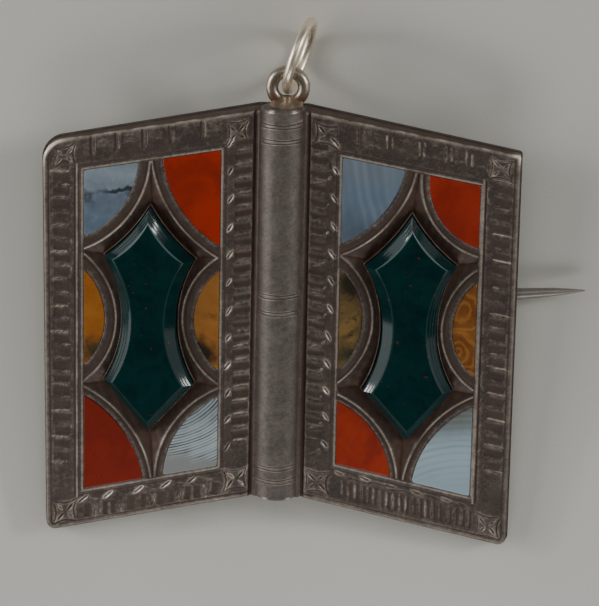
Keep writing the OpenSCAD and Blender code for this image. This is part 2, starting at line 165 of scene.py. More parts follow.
class Value:
    """A socket of a material; sums and products with it add Math nodes."""

    def __init__(self, paint, socket):
        self.paint, self.socket = paint, socket

    def math(self, operation, *others):
        return self.paint.node("ShaderNodeMath", {"operation": operation}, dict(enumerate((self, *others))))

    def __add__(self, other):
        return self.math("ADD", other)

    def __sub__(self, other):
        return self.math("SUBTRACT", other)

    def __rsub__(self, other):
        return self.paint.node("ShaderNodeMath", {"operation": "SUBTRACT"}, {0: other, 1: self})

    def __mul__(self, other):
        return self.math("MULTIPLY", other)

    def __pow__(self, other):
        return self.math("POWER", other)

    def clipped(self, low=0.0, high=1.0):
        return self.math("MAXIMUM", low).math("MINIMUM", high)

    def step(self, low, high):
        """0 below low, 1 above high, smooth between."""
        return self.paint.node("ShaderNodeMapRange", {"interpolation_type": "SMOOTHSTEP"},
                               {"Value": self, "From Min": low, "From Max": high})

    def near(self, middle, reach):
        """1 at the middle value, falling to 0 at the reach on both sides."""
        return 1.0 - (self - middle).math("ABSOLUTE").step(0.0, reach)

    __radd__, __rmul__ = __add__, __mul__


class Paint:
    """A material; node() makes any node from its type, its settings and its sockets' values."""

    def __init__(self, name, middle=(0.0, 0.0, 0.0), **fixed):
        self.material = bpy.data.materials.new(name)
        self.material.use_nodes = True
        self.tree = self.material.node_tree
        self.shader = self.tree.nodes["Principled BSDF"]
        for socket, value in fixed.items():
            self.shader.inputs[socket.replace("_", " ")].default_value = value
        place = self.node("ShaderNodeTexCoord", {}, {}, "Object")
        self.place = self.node("ShaderNodeVectorMath", {"operation": "MULTIPLY_ADD"},
                               {0: place, 1: (1000.0,) * 3, 2: tuple(-float(c) for c in middle)}, "Vector")

    def node(self, kind, settings, inputs, output=0):
        made = self.tree.nodes.new(kind)
        for setting, value in settings.items():
            setattr(made, setting, value)
        for socket, value in inputs.items():
            if isinstance(value, Value):
                self.tree.links.new(value.socket, made.inputs[socket])
            else:
                made.inputs[socket].default_value = value
        return Value(self, made.outputs[output])

    def mark(self, name):
        return self.node("ShaderNodeAttribute", {"attribute_name": name}, {}, "Fac")

    def noise(self, scale, detail, roughness, where=None, warp=0.0):
        return self.node("ShaderNodeTexNoise", {},
                         {"Vector": where or self.place, "Scale": scale, "Detail": detail,
                          "Roughness": roughness, "Distortion": warp})

    def along(self, axis, where=None):
        """Place along one axis, in millimetres."""
        return self.node("ShaderNodeSeparateXYZ", {}, {0: where or self.place}, axis)

    def away(self, x, y):
        """Distance from a place seen from the front, in millimetres."""
        return ((self.along("X") - x) ** 2 + (self.along("Y") - y) ** 2) ** 0.5

    def stretched(self, x=1, y=1, turn=0.0, shift=(0, 0, 0)):
        """The place in millimetres, shifted, turned about Z and then stretched."""
        return self.node("ShaderNodeMapping", {"vector_type": "TEXTURE"},
                         {"Vector": self.place, "Location": shift, "Rotation": (0, 0, turn),
                          "Scale": (1 / x, 1 / y, 1)}, "Vector")

    def blend(self, share, low, high):
        """Two colours, mixed by a share."""
        return self.node("ShaderNodeMix", {"data_type": "RGBA"},
                         {0: share, 6: low if isinstance(low, Value) else (*low, 1),
                          7: high if isinstance(high, Value) else (*high, 1)}, 2)

    def finish(self, bump, depth, **links):
        """The material with its links made and a bump of the given depth in millimetres."""
        links["Normal"] = self.node("ShaderNodeBump", {}, {"Height": bump, "Distance": depth / 1000}, "Normal")
        for socket, value in links.items():
            self.tree.links.new(value.socket, self.shader.inputs[socket.replace("_", " ")])
        return self.material


def silver(name, film, clean, cleanness, roughness, scuffs=1.0, metal=0.35, patchy=1.0):
    """Silver under a brown film, dark in patches; its hollow mark darkens it with tarnish and painted shade,
    and its bright mark lightens it to bare metal with painted highlights.
    """
    paint = Paint(name, IOR=1.5)
    cloud = paint.noise(0.40, 4.0, 0.6)
    specks = paint.noise(2.6, 5.0, 0.7)
    hairlines = paint.noise(1.0, 2.0, 0.5, paint.stretched(0.5, 9.0, 0.5)) - 0.5
    hollow, bright = paint.mark("hollow"), paint.mark("bright")
    share = cleanness + ((cloud - 0.5) * 0.40 + (specks - 0.5) * 0.75) * patchy + hairlines * (0.25 * scuffs)
    # the hollow mark takes the film further from bare metal; the bright mark brings it to bare metal, partly as
    # painted highlight
    share = (share - hollow * 0.35 + bright * (0.65 + (specks - 0.5) * 1.2)).clipped()
    grain = (paint.noise(5.5, 2.0, 0.6) - 0.5) * 2.4
    shade = paint.noise(0.8, 3.0, 0.5, paint.stretched(shift=(7, 3, 0))).step(0.40, 0.62)
    tinted = paint.blend((shade * 0.5 + grain + 0.25).clipped(), np.multiply(film, 1.22),
                         np.multiply(film, (0.70, 0.73, 0.84)))
    colour = paint.blend(share, tinted, clean)
    # the hollow mark darkens towards brown and, where deepest, almost to black: tarnish in the hollows and
    # painted shade
    colour = paint.blend((hollow * 1.1).clipped(0.0, 0.8), colour, np.multiply(film, (1.0, 0.52, 0.30)))
    colour = paint.blend(((hollow - 0.6) * 0.9).clipped(0.0, 0.8), colour, (0.012, 0.008, 0.006))
    rough = (1.0 - share) * 0.22 + (specks - 0.5) * 0.25 + roughness
    relief = (paint.noise(3.5, 4.0, 0.6) * 0.8 + specks * 0.9) * patchy + hairlines * (0.5 * scuffs)
    # less metallic under the bright mark, so that it shows as a painted highlight from every side
    return paint.finish(relief, 0.018, Base_Color=colour, Roughness=rough.clipped(0.12, 0.8),
                        Metallic=(share * 0.5 + metal - bright * 0.55).clipped())


tarnished = silver("tarnished_silver", (0.067, 0.049, 0.0375), (0.80, 0.70, 0.58),
                   cleanness=-0.02, roughness=0.28, scuffs=0.4, patchy=0.6)
book_outline = np.array(half_outline(RIGHT) + [p * [-1, 1] for p in half_outline(LEFT)[::-1]])
sheet_levels = SHEET_EDGE + tuple((drawn_in, SHEET_T - height) for drawn_in, height in SHEET_EDGE[::-1])
make_piece("back_sheet", *plate(book_outline, sheet_levels), tarnished, crease=50)


# The engraved covers
# Each cover is a silver front with thin side walls. A band of hand engraving, scallops with bright
# wedge cuts, flat flutes, ticks and a cross in each corner, frames six flush stones and a sunk star.
FIELD_IN, FIELD_OUT = 5.05, 16.65
BORDER_TOP, BORDER_BOTTOM = {LEFT: 3.07, RIGHT: 3.35}, {LEFT: 3.38, RIGHT: 3.94}
FRAME_LINE = {LEFT: 17.2, RIGHT: 16.9}
GAP_OUT, GROUND = 2.4, 0.4
OUTER_U = (COVER_W - LIP) / math.cos(SLOPE)
ROLL, FINE, MEDIUM, MIDDLE_ROWS, SNAP = 0.26, 0.062, 0.08, 369, 0.036
# column, row, run along the side, run along the end, bulge and strip of each corner stone
CORNER_STONES = {
    LEFT: ((1, 1, 5.84, 4.67, 1.10, 0.95), (-1, 1, 8.43, 4.95, 1.08, 0.92),
           (1, -1, 8.61, 5.17, 1.08, 0.72), (-1, -1, 6.32, 4.73, 1.18, 0.70)),
    RIGHT: ((1, 1, 5.55, 4.31, 1.35, 0.66), (-1, 1, 7.53, 5.30, 1.03, 0.93),
            (1, -1, 8.21, 5.05, 1.08, 0.78), (-1, -1, 5.76, 4.73, 1.12, 0.54))}
# column, middle, length, bulge and strip of each side stone
SIDE_STONES = {LEFT: ((1, -1.60, 8.73, 1.82, 1.00), (-1, -1.26, 9.00, 2.20, 0.98)),
               RIGHT: ((1, -1.60, 8.50, 2.00, 0.92), (-1, -0.80, 9.00, 2.00, 0.88))}
# the green stones' middle, half length, upper corner and waist, and how far the tip and the corner
# move for each millimetre that the outline is drawn in
STONE_MID, STONE_UP = 10.98, -1.37
STONE_TIP, STONE_CORNER, STONE_WAIST, UPPER_SAG = 9.95, np.array([3.85, 5.5]), 2.32, 0.3
TIP_MOVE, CORNER_MOVE = 1.3, np.array([0.95, 0.07])
# height across the strips round the flush stones, and from a strip's crest down to the sunk ground
STRIP_SHAPE = (-0.10, -0.04, 0.0, 0.05), (-0.25, -0.10, -0.02, -0.01)
CREST_SHAPE = ((-0.34, -0.20, -0.12, -0.08, 0.0, 0.08, 0.20, 0.50, 0.90, 1.50),
               (-0.01, -0.05, -0.02, 0.02, 0.05, -0.02, -0.07, -0.16, -0.27, -GROUND))


def field_top(side, u):
    return top_edge(u) - BORDER_TOP[side]


def field_bottom(side, u):
    return bottom_edge(u) + BORDER_BOTTOM[side]


def bulge_circle(a, b, bulge):
    """Circle through a and b that bulges to the left of the way from a to b."""
    a, b = np.array(a, float), np.array(b, float)
    half = np.linalg.norm(b - a) / 2
    radius = (half ** 2 + bulge ** 2) / (2 * bulge)
    leftward = np.array([a[1] - b[1], b[0] - a[0]]) / (2 * half)
    return (a + b) / 2 - leftward * (radius - bulge), radius


def stone_circles(side):
    """Centre, radius and strip of the curved sides of a cover's flush stones: four corners, two sides."""
    circles = []
    for column, row, side_run, end_run, bulge, strip in CORNER_STONES[side]:
        u = FIELD_OUT if column > 0 else FIELD_IN
        edge = field_top if row > 0 else field_bottom
        on_side = (u, float(edge(side, u)) - row * side_run)
        on_end = (u - column * end_run, float(edge(side, u - column * end_run)))
        ends = (on_end, on_side) if row * column < 0 else (on_side, on_end)
        circles.append((*bulge_circle(*ends, bulge), strip))
    for column, middle, length, bulge, strip in SIDE_STONES[side]:
        u, reach = (FIELD_OUT if column > 0 else FIELD_IN), column * length / 2
        circles.append((*bulge_circle((u, middle - reach), (u, middle + reach), bulge), strip))
    return circles


def on_cover(side, u, v, height):
    """Bench points of places on a cover: u out from the spine, v up it, height above its front."""
    x = u * math.cos(SLOPE) + height * math.sin(SLOPE)
    z = SPINE_T - u * math.sin(SLOPE) + height * math.cos(SLOPE)
    return np.stack([side * x, v + 0 * x, z], -1)


def flipped(faces):
    """Faces that look the other way."""
    return [face[::-1] for face in faces]


def cover_skin(side, loops, capped=True):
    """Skin over loops drawn on a cover, each with its height."""
    points, faces = skin([on_cover(side, *loop.T, height) for loop, height in loops], capped)
    return points, flipped(faces) if side == LEFT else faces


def stone_outline(drawn_in, steps=24):
    """Loop of a green stone: two hollow upper sides, two straight lower ones and a hollow waist."""
    low_move = CORNER_MOVE[1] + CORNER_MOVE[0] * (STONE_TIP - STONE_CORNER[1]) / STONE_CORNER[0]
    tip, low_tip = [0, STONE_TIP - TIP_MOVE * drawn_in], [0, low_move * drawn_in - STONE_TIP]
    corner = STONE_CORNER - CORNER_MOVE * drawn_in
    waist_sag = corner[0] - (STONE_WAIST - drawn_in)
    flip = np.array([-1, 1])
    stations = np.array([tip, corner * flip, -corner, low_tip, -corner * flip, corner])
    loop = []
    for k, sag in enumerate((UPPER_SAG, waist_sag, 0, 0, waist_sag, UPPER_SAG)):
        a, b = stations[k], stations[(k + 1) % 6]
        if not sag:
            loop.append(a + np.outer(np.arange(steps) / steps, b - a))
            continue
        centre, radius = bulge_circle(a, b, sag)
        start = math.atan2(*(a - centre)[::-1])
        sweep = 2 * math.asin(np.linalg.norm(b - a) / 2 / radius)
        angles = start - sweep * np.arange(steps) / steps
        loop.append(centre + radius * np.column_stack([np.cos(angles), np.sin(angles)]))
    return np.concatenate(loop) + [STONE_MID, STONE_UP]


def inside(loop, u, v):
    """True where a place is inside a closed loop."""
    result = np.zeros(u.shape, bool)
    for (u1, v1), (u2, v2) in zip(loop, np.roll(loop, -1, 0)):
        crosses = (v1 > v) != (v2 > v)
        if v1 != v2:
            result ^= crosses & (u < u1 + (v - v1) * (u2 - u1) / (v2 - v1))
    return result


def steps_between(stops, spacing):
    """Values that pass through every stop, about a spacing apart."""
    values = [np.linspace(a, b, max(1, round((b - a) / s)) + 1)[:-1]
              for a, b, s in zip(stops, stops[1:], spacing)]
    return np.concatenate([*values, [stops[-1]]])


# The engraver's motifs, each from a place of its own: start and end of every cut, its width, depth and
# brightness (below zero, the painted shade of a flat flute), then its bow and whether its bottom is flat. The
# top's heights run down from the edge.
OUTER_MOTIF = {
    LEFT: ((19.6, -0.05, 17.9, 0.05, 0.16, 0.08, 0.75), (17.95, 0.02, 17.85, 0.42, 0.15, 0.07, 0.50),
           (18.65, 1.2, 17.75, 1.22, 0.15, 0.07, 0.50), (17.75, 1.22, 17.68, 0.72, 0.14, 0.06, 0.40),
           *((17.8, mid, 19.2, mid, 0.95, 0.035, -0.04, 0, True) for mid in (0.6, 1.8))),
    RIGHT: ((17.7, 0.20, 19.6, -0.22, 0.16, 0.08, 0.70), (17.52, 0.25, 17.50, 2.10, 0.16, 0.06, 0.40, 0.40),
            (17.75, 1.36, 18.65, 1.16, 0.14, 0.05, 0.35),
            *((17.8, mid, 19.2, mid - 0.3, 0.95, 0.035, -0.04, 0, True) for mid in (0.6, 1.8)))}
TOP_PLACES = {LEFT: (16.08, 13.95, 11.70, 9.40, 6.80), RIGHT: (15.35, 13.60, 11.40, 8.65, 6.30)}
TOP_MOTIF = {
    LEFT: ((0, 0.35, -0.05, 1.9, 0.40, 0.09, -0.40, 0, True), (-0.28, 0.25, -0.33, 1.95, 0.15, 0.07, 0.60),
           *((-0.5, line, -1.75, line, 0.12, 0.035, 0.22) for line in (0.62, 0.84, 1.06, 1.28)),
           (-1.05, 0.5, -1.08, 1.3, 0.13, 0.05, 0.20)),
    RIGHT: ((0, 0.5, 0.04, 2.0, 0.15, 0.07, 0.80), (0.48, 0.6, 0.50, 2.0, 0.15, 0.07, 0.80),
            (0.24, 0.5, 0.27, 1.9, 0.34, 0.04, -0.08, 0, True), (0.6, 2.0, 2.0, 2.0, 0.14, 0.05, 0.25, 0.25),
            *((0.7, line, 1.9, line, 0.12, 0.035, 0.15) for line in (0.62, 0.90)),
            (-1.05, 0.5, -1.08, 1.3, 0.13, 0.05, 0.20))}
BOTTOM_PLACES = {LEFT: (7.20, 9.50, 11.85, 14.50, 16.70), RIGHT: (5.43, 7.60, 9.80, 12.10, 14.60)}
BOTTOM_MOTIF = {
    LEFT: ((0.48, 2.20, -0.45, 2.82, 0.38, 0.16, 1.2), (-0.45, 2.80, -1.85, 2.30, 0.16, 0.07, 0.40, 0.28),
           (-0.55, 2.55, -1.80, 2.08, 0.12, 0.04, 0.22, 0.25),
           (-1.46, 1.95, -1.28, 0.65, 0.18, 0.09, 0.55), (-2.0, 2.0, -1.92, 0.8, 0.75, 0.05, -0.10, 0, True),
           (-0.94, 1.95, -1.12, 0.65, 0.18, 0.09, 0.55), (-0.4, 2.0, -0.48, 0.8, 0.75, 0.05, -0.10, 0, True)),
    RIGHT: ((-0.50, 3.30, 0.50, 3.12, 0.40, 0.12, 0.75, -0.10), (0.1, 2.85, 2.1, 2.85, 0.14, 0.05, 0.22, 0.25),
            *(cut for at in (0.20, 0.76, 1.32, 1.88)
              for cut in ((at, 2.65, at + 0.02, 1.15, 0.15, 0.07, 0.42),
                          (at + 0.28, 2.7, at + 0.30, 1.1, 0.44, 0.06, -0.25, 0, True))))}


def engraving(side, rng):
    """The cuts of one cover: start, end, width, depth, brightness or, below zero, painted shade, bow,
    flat-bottomed or not.
    """
    cuts = []
    left = side == LEFT

    def cut(a, b, width, depth, bright, bow=0.0, flat=False):
        loose = rng.normal(0, 0.045, 4)
        width, depth = width * rng.uniform(0.85, 1.15), depth * rng.uniform(0.75, 1.2)
        bow, bright = bow * rng.uniform(0.7, 1.2), bright * rng.uniform(0.45, 1.3)
        cuts.append((np.array(a) + loose[:2], np.array(b) + loose[2:], width, depth, bright, bow, flat))

    def high(u, down):
        return u, float(top_edge(u)) - down

    def low(u, up):
        return u, float(bottom_edge(u)) + up

    # beside the spine: wedge cuts, light ridges and flat flutes
    first, step = (-12.49, 2.44) if left else (-11.90, 2.406)
    for v in first + step * np.arange(12):
        u = 4.26 if left else 4.28 + 0.0166 * v
        cut((u + 0.29, v - 0.44), (u - 0.27, v + 0.44), 0.36, 0.16, 1.2)
        if not left:
            cut((u - 0.60, v - 0.72), (u - 0.36, v - 0.44), 0.22, 0.10, 1.0)
            cut((2.6, v - 1.0), (u - 0.55, v - 0.68), 0.14, 0.06, 0.40, -0.10)
        for half in (0, 1):
            at = v + (0.65 if left else 0.35) + half * step / 2
            if at > float(top_edge(3)) - 2.8:
                continue
            strength = (0.75 if v < -4 else 0.42) if left else 0.24
            cut((3.85, at - 0.10), (2.40, at + 0.20), 0.15, 0.05, strength)
            flute = (0.85, 0.06, -0.22 if v > 2 else -0.05, 0) if left else (0.70, 0.035, -0.05, 0.08)
            cut((3.85, at + 0.51), (2.38, at + 0.80), *flute, True)

    # along the outer edge: long ticks, short hooked ones and lines beside the rim
    first, step = (-14.83, 2.364) if left else (-14.30, 2.34)
    for v in first + step * np.arange(12):
        for u1, v1, u2, v2, *look in OUTER_MOTIF[side]:
            cut((u1, v + v1), (u2, v + v2), *look)
        for line in (19.30, 19.02):
            cut((line, v + 0.25), (line, v + 1.0 + rng.uniform(-0.3, 0.6)), 0.11, 0.03, 0.15)
    u = FRAME_LINE[side]
    foot, head = float(field_bottom(side, u)) - 0.6, float(field_top(side, u)) + 0.6
    cut((u + 0.2, foot), (u + 0.2, head), 0.20, 0.06, -0.2)

    # along the top ticks from the edge inwards, along the bottom wedges under scallops and ticks
    for edge, places, motif in ((high, TOP_PLACES, TOP_MOTIF), (low, BOTTOM_PLACES, BOTTOM_MOTIF)):
        for u in places[side]:
            for u1, v1, u2, v2, *look in motif[side]:
                cut(edge(u + u1, v1), edge(u + u2, v2), *look)
    cut(low(17.6, 0.62), low(3.0, 0.62), 0.14, 0.05, 0.45)
    cut(low(17.6, 0.40), low(3.0, 0.40), 0.11, 0.03, 0.2)

    # a cross in a curved frame in each corner
    blocks = ((3.70, top_edge, -1.75, 1.05, 0.65), (18.30, top_edge, -1.62, 1.05, 0.70 if left else 0.75),
              (3.50, bottom_edge, 1.90, 1.15, 1.15), (18.25, bottom_edge, 1.60, 1.15, 0.9))
    for u, edge, rise, half, shine in blocks:
        v = float(edge(u)) + rise

        def spot(x, y):
            return u + x, v + y - 0.22 * x

        for x, y in ((1, 1), (-1, 1), (-1, -1), (1, -1)):
            lit = shine * (1.2 if x * y > 0 else 0.6)
            cut(spot(0.12 * x, 0.06 * y), spot(0.74 * x, 0.70 * y), 0.28, 0.15, lit, 0.03)
            cut(spot(half * x, half * y), spot(half * -y, half * x), 0.22, 0.10, 0.45 * shine, 0.34)
    return cuts


def tent(off, reach):
    """1 where off is 0, falling straight to 0 at the reach on both sides."""
    return np.clip(1 - np.abs(off) / reach, 0, 1)


def eased(x):
    """0 below 0, 1 above 1, smooth between."""
    x = np.clip(x, 0, 1)
    return x * x * (3 - 2 * x)


def carved(u, v, cuts):
    """How deep the cuts go at each place, how bright they are, and how much painted shade the flat ones hold.
    """
    depth, bright, dark = (np.zeros(u.shape) for _ in range(3))
    for a, b, width, deep, shine, bow, flat in cuts:
        way = b - a
        length = np.linalg.norm(way)
        reach = width + abs(bow)
        near = (np.abs(u - (a[0] + b[0]) / 2) < abs(way[0]) / 2 + reach) \
            & (np.abs(v - (a[1] + b[1]) / 2) < abs(way[1]) / 2 + reach)
        du, dv = u[near] - a[0], v[near] - a[1]
        along = (du * way[0] + dv * way[1]) / length ** 2
        off = np.abs((dv * way[0] - du * way[1]) / length - 4 * bow * along * (1 - along))
        ends = np.minimum(along, 1 - along) * length
        # flat flutes get painted shade; the other cuts get brightness, clean silver with painted highlight
        if flat:
            shape = eased((width / 2 - off) / 0.30) * eased(ends / 0.20 + 0.5)
            dark[near] = np.maximum(dark[near], -shine * shape)
        else:
            swell = np.clip(ends / min(0.35, length / 2), 0, 1) ** 0.6
            shape = tent(off, width / 2 * np.maximum(swell, 1e-3)) * swell
            bright[near] = np.maximum(bright[near], eased(shape * 2.5) * shine)
        depth[near] = np.maximum(depth[near], shape * deep)
    return depth, bright, dark


def softened(values):
    """Values spread over their neighbours, two rows and columns away, three times."""
    for _ in range(3):
        padded = np.pad(values, 2, "edge")
        values = sum(padded[i:i + values.shape[0], 2:-2] for i in range(5)) / 5
        padded = np.pad(values, 2, "edge")
        values = sum(padded[2:-2, i:i + values.shape[1]] for i in range(5)) / 5
    return values


def cover_front(name, side, seed):
    """A grid over the cover that follows its edges and circles: raised, cut and marked, with walls."""
    rng = np.random.default_rng(seed)
    rolled = [ROLL * (1 - math.cos(a)) for a in np.linspace(0, math.pi / 2, 7)][:-1]
    columns = np.concatenate([steps_between([STRIP, GAP_OUT, FIELD_IN, FIELD_OUT, OUTER_U - ROLL],
                                            [0.05, FINE, MEDIUM, FINE]), OUTER_U - np.array(rolled)[::-1]])
    lean_top, lean_bottom = math.cos(math.atan(TOP_FALL)), math.cos(math.atan(BOTTOM_FALL))
    rim_top, rim_bottom = LIP / lean_top, LIP / lean_bottom
    from_bottom, from_top = (np.concatenate([rolled, steps_between([ROLL, border], [FINE])])
                             for border in (BORDER_BOTTOM[side] - rim_bottom, BORDER_TOP[side] - rim_top))
    middle = np.linspace(0, 1, MIDDLE_ROWS + 2)[1:-1]
    share = np.concatenate([0 * from_bottom, middle, 0 * from_top + 1])[:, None]
    offset = np.concatenate([from_bottom, from_bottom[-1] * (1 - middle) - from_top[-1] * middle,
                             -from_top[::-1]])[:, None]
    flare = FLARE[side] * np.clip((columns - FIELD_OUT) / (OUTER_U - FIELD_OUT), 0, 1)
    u = columns + flare * np.linspace(0, 1, len(share))[:, None]
    v = (bottom_edge(u) + rim_bottom) * (1 - share) + (top_edge(u) - rim_top) * share + offset
    edge_gap = OUTER_U - columns + 0 * v
    field = np.minimum.reduce([u - FIELD_IN, FIELD_OUT - u, v - field_bottom(side, u), field_top(side, u) - v])

    # the grid is drawn on to the edges of the openings, and to both edges of the crests round them
    circles = stone_circles(side)
    centres, radii = np.array([c for c, r, s in circles]), np.array([r for c, r, s in circles])
    strips = np.array([s for c, r, s in circles])[:, None, None]

    def ring_gaps():
        gaps = np.stack([np.hypot(u - c[0], v - c[1]) - r for c, r, s in circles])
        return gaps, gaps - strips

    for past, crisp in ((0, 0.0), (1, -0.08), (1, 0.0), (1, 0.08)):
        gaps = ring_gaps()
        which, gap = gaps[past].argmin(0), gaps[past].min(0) - crisp
        away = np.take_along_axis(gaps[0], which[None], 0)[0] + radii[which]
        pull = np.where((np.abs(gap) < SNAP) & (field > 0.05), gap / away, 0)
        u = u - pull * (u - centres[which][..., 0])
        v = v - pull * (v - centres[which][..., 1])
    ring, crest = (gap.min(0) for gap in ring_gaps())

    # the rolled rim, the gap beside the spine, ruled lines, the strips, the sunk ground and the cuts
    below_top = top_edge(u) - rim_top - v
    rim = np.minimum.reduce([edge_gap, (v - bottom_edge(u) - rim_bottom) * lean_bottom, below_top * lean_top])
    height = -(ROLL - np.sqrt(np.maximum(ROLL ** 2 - np.maximum(ROLL - rim, 0) ** 2, 0)))
    height -= 0.15 * np.sin(math.pi * np.clip((u - STRIP) / (GAP_OUT - STRIP), 0, 1)) ** 0.7
    on_side = (rim > edge_gap - 0.05) | (v < 0)
    height -= 0.05 * tent(rim - 0.48, 0.08) * on_side
    height -= 0.04 * tent(field + 0.46, 0.08) * (rim > 0.5)
    height += 0.03 * tent(field + 0.14, 0.10)
    frame_line = tent(u - FRAME_LINE[side], 0.13) \
        * (v > field_bottom(side, u) - 0.6) * (v < field_top(side, u) + 0.6)
    height += 0.035 * frame_line
    sunk = np.where(ring < 0.10, np.interp(ring, *STRIP_SHAPE), np.interp(crest, *CREST_SHAPE))
    ground = eased((crest - 0.08) / 0.15) * (field > 0)
    sunk += ground * 0.02 * np.sin(5.1 * u + 1.3 * v) * np.sin(4.3 * v - 2.1 * u)
    height = np.where(field > -0.02, sunk * eased((field + 0.02) / 0.1), height)
    engraved = (field < -0.02) & (rim > 0.1) & (u > GAP_OUT - 0.05)
    depth, bright, dark = (values * engraved for values in carved(u, v, engraving(side, rng)))
    height = height - depth
    waves = sum(rng.uniform(0.003, 0.007)
                * np.sin(rng.uniform(0.5, 1.6) * u + rng.uniform(0.4, 1.3) * v + phase)
                for phase in rng.uniform(0, 6.28, 6))
    height = height + waves * eased(rim / 0.5) * (u > GAP_OUT)

    # hollows, flutes, the gap beside the spine and the sunk ground are darkened: tarnish and painted shade;
    # crests, ruled beads, the worn corner and the top rim are lightened: rubbed silver and painted highlights
    # darker below the surrounding surface: tarnish in the hollows, with the painted shade of the flat flutes
    hollow = np.clip((softened(height) - height) / 0.07, -0.6, 1.3) + dark
    # painted shade in the gap beside the spine, uneven along it
    darkening, turn = (0.30, -0.6) if side == LEFT else (0.10, 2.5)
    gap_shade = np.maximum(darkening + 0.35 * np.sin(0.20 * v + turn), 0)
    hollow += gap_shade * np.clip(1.5 - np.abs(u - (STRIP + GAP_OUT) / 2) / 0.22, 0, 1)
    # the sunk ground is darkened, more away from the crests: brown tarnish and painted shade
    hollow += ground * (0.38 + 0.30 * eased((crest - 0.5) / 0.8))
    # painted shade along the inside of each crest and beside each flush stone
    hollow += (field > 0) * (ring > 0) * (0.18 * (crest < -0.1) + 0.4 * tent(crest + 0.2, 0.12)
                                          + 0.5 * tent(ring - 0.05, 0.10))
    # painted highlight along the crests, uneven and stronger at a few spots, over rubbed silver
    spots = ((14.8, 6.2, 0.9), (10.6, -12.5, 0.4)) if side == LEFT else ((8.5, 5.6, 0.5), (16.0, -9.6, 0.6))
    shiny = sum(much * np.exp(-((u - a) ** 2 + (v - b) ** 2) / 3.0) for a, b, much in spots)
    crest_wear_and_highlight = shiny + 0.22 + 0.28 * np.sin(1.1 * u + 0.8 * v + side) + 0.16 * np.sin(3.1 * v - 2.3 * u)
    # painted glints on the worn upper outer corner
    corner_wear_and_glint = np.exp(-((u - OUTER_U) ** 2 + (v - top_edge(OUTER_U)) ** 2) / (2.2 if side == LEFT else 0.5))
    # painted highlight along the rubbed top rim
    top_rim_wear_and_highlight = 0.42 + 0.2 * np.sin(1.9 * u + side) + 0.12 * np.sin(5.3 * u)
    # the ruled bead and the frame line are lightened too: rubbed silver and painted highlight
    bright = np.maximum.reduce([
        bright, crest_wear_and_highlight * tent(crest, 0.075) * (field > 0.05) * (ring > 0.12),
        0.30 * tent(field + 0.14, 0.08), (0.30 + 0.15 * np.sin(1.7 * v)) * frame_line,
        1.9 * corner_wear_and_glint * eased(1 - (rim - 0.1) / 0.3), top_rim_wear_and_highlight * eased(1 - below_top / 0.20)])

    # the two free corners are rounded by drawing the grid in
    for radius, edge, way, rim_gap, fall in ((UPPER_CORNER[side], top_edge, -1, rim_top, TOP_FALL),
                                             (LOWER_CORNER, bottom_edge, 1, rim_bottom, -BOTTOM_FALL)):
        radius = radius / math.tan(math.pi / 4 + math.atan(fall) / 2)
        across = (v - edge(u)) * way - rim_gap
        x, y = radius - edge_gap, radius - across
        corner = (x > 1e-6) & (y > 1e-6)
        size = np.where(corner, np.maximum(x, y) / np.maximum(np.hypot(x, y), 1e-9), 1)
        u = np.where(corner, u - x + x * size, u)
        v = np.where(corner, edge(u) + way * (rim_gap + radius - y * size), v)

    # faces, without those under the stones, and walls down to the back sheet
    rows, count = u.shape
    index = np.arange(rows * count).reshape(rows, count)
    quads = np.stack([index[:-1, :-1], index[:-1, 1:], index[1:, 1:], index[1:, :-1]], -1)
    hidden = ((ring < -0.35) & (field > 0.35)) | inside(stone_outline(0.35, 8), u, v)
    hidden = hidden[:-1, :-1] & hidden[:-1, 1:] & hidden[1:, 1:] & hidden[1:, :-1]
    border = np.concatenate([index[0, :-1], index[:-1, -1], index[-1, ::-1]])
    points = on_cover(side, u, v, height).reshape(-1, 3)
    foot = points[border].copy()
    foot[:, 2] = SHEET_T - 0.02
    lower = len(points) + np.arange(len(border))
    walls = np.stack([border[:-1], lower[:-1], lower[1:], border[1:]], -1)
    faces = np.concatenate([quads[~hidden].reshape(-1, 4), walls])[:, ::side]
    points = np.concatenate([points, foot])
    used = np.zeros(len(points), bool)
    used[faces.ravel()] = True
    renumber = np.cumsum(used) - 1
    spare = np.zeros(len(foot))
    hollow, bright = (np.concatenate([mark.ravel(), spare])[used] for mark in (hollow, bright))
    make_piece(name, points[used], renumber[faces], tarnished, hollow=hollow, bright=bright)


cover_front("left_cover", LEFT, 5)
cover_front("right_cover", RIGHT, 23)


# The bezels
# A thin upright wall of silver holds each green stone in the sunk star. Its top edge is rubbed
# over the stone's girdle by hand, so it wavers a little and shines where it has been worn.

# how far out, how high, how bright and how much darker the wall is, from inside to outside
BEZEL_WALL = ((0.0, -GROUND, 0, 0.9), (0.0, -0.06, 0, 0.9), (0.02, 0.0, 0, 0.5), (0.06, 0.03, 0.26, 0.2),
              (0.11, 0.02, 0.18, 0.2), (0.15, -0.04, 0, 0.5), (0.16, -GROUND, 0, 0.9))


def round_angles(count):
    """Evenly spaced angles, once round."""
    return np.linspace(0, 2 * math.pi, count + 1)[:-1]


def bezel(name, side, seed):
    rng = np.random.default_rng(seed)
    angles = round_angles(len(stone_outline(0)))
    waver = sum(rng.uniform(0.006, 0.014) * np.sin(angles * k + rng.uniform(0, 6.28)) for k in (3, 7, 12, 19))
    rubbed = 1 + np.sin(17 * angles) * np.sin(5 * angles + seed)
    points, faces = cover_skin(side, [(stone_outline(-out), height + (waver if height > -0.1 else 0))
                                      for out, height, _, _ in BEZEL_WALL], False)
    make_piece(name, points, flipped(faces), tarnished,
               bright=np.concatenate([shine * rubbed for _, _, shine, _ in BEZEL_WALL]),
               # darker at the wall's foot and on its face against the stone
               hollow=np.repeat([darkening for _, _, _, darkening in BEZEL_WALL], len(angles)))


bezel("left_bezel", LEFT, 3)
bezel("right_bezel", RIGHT, 4)


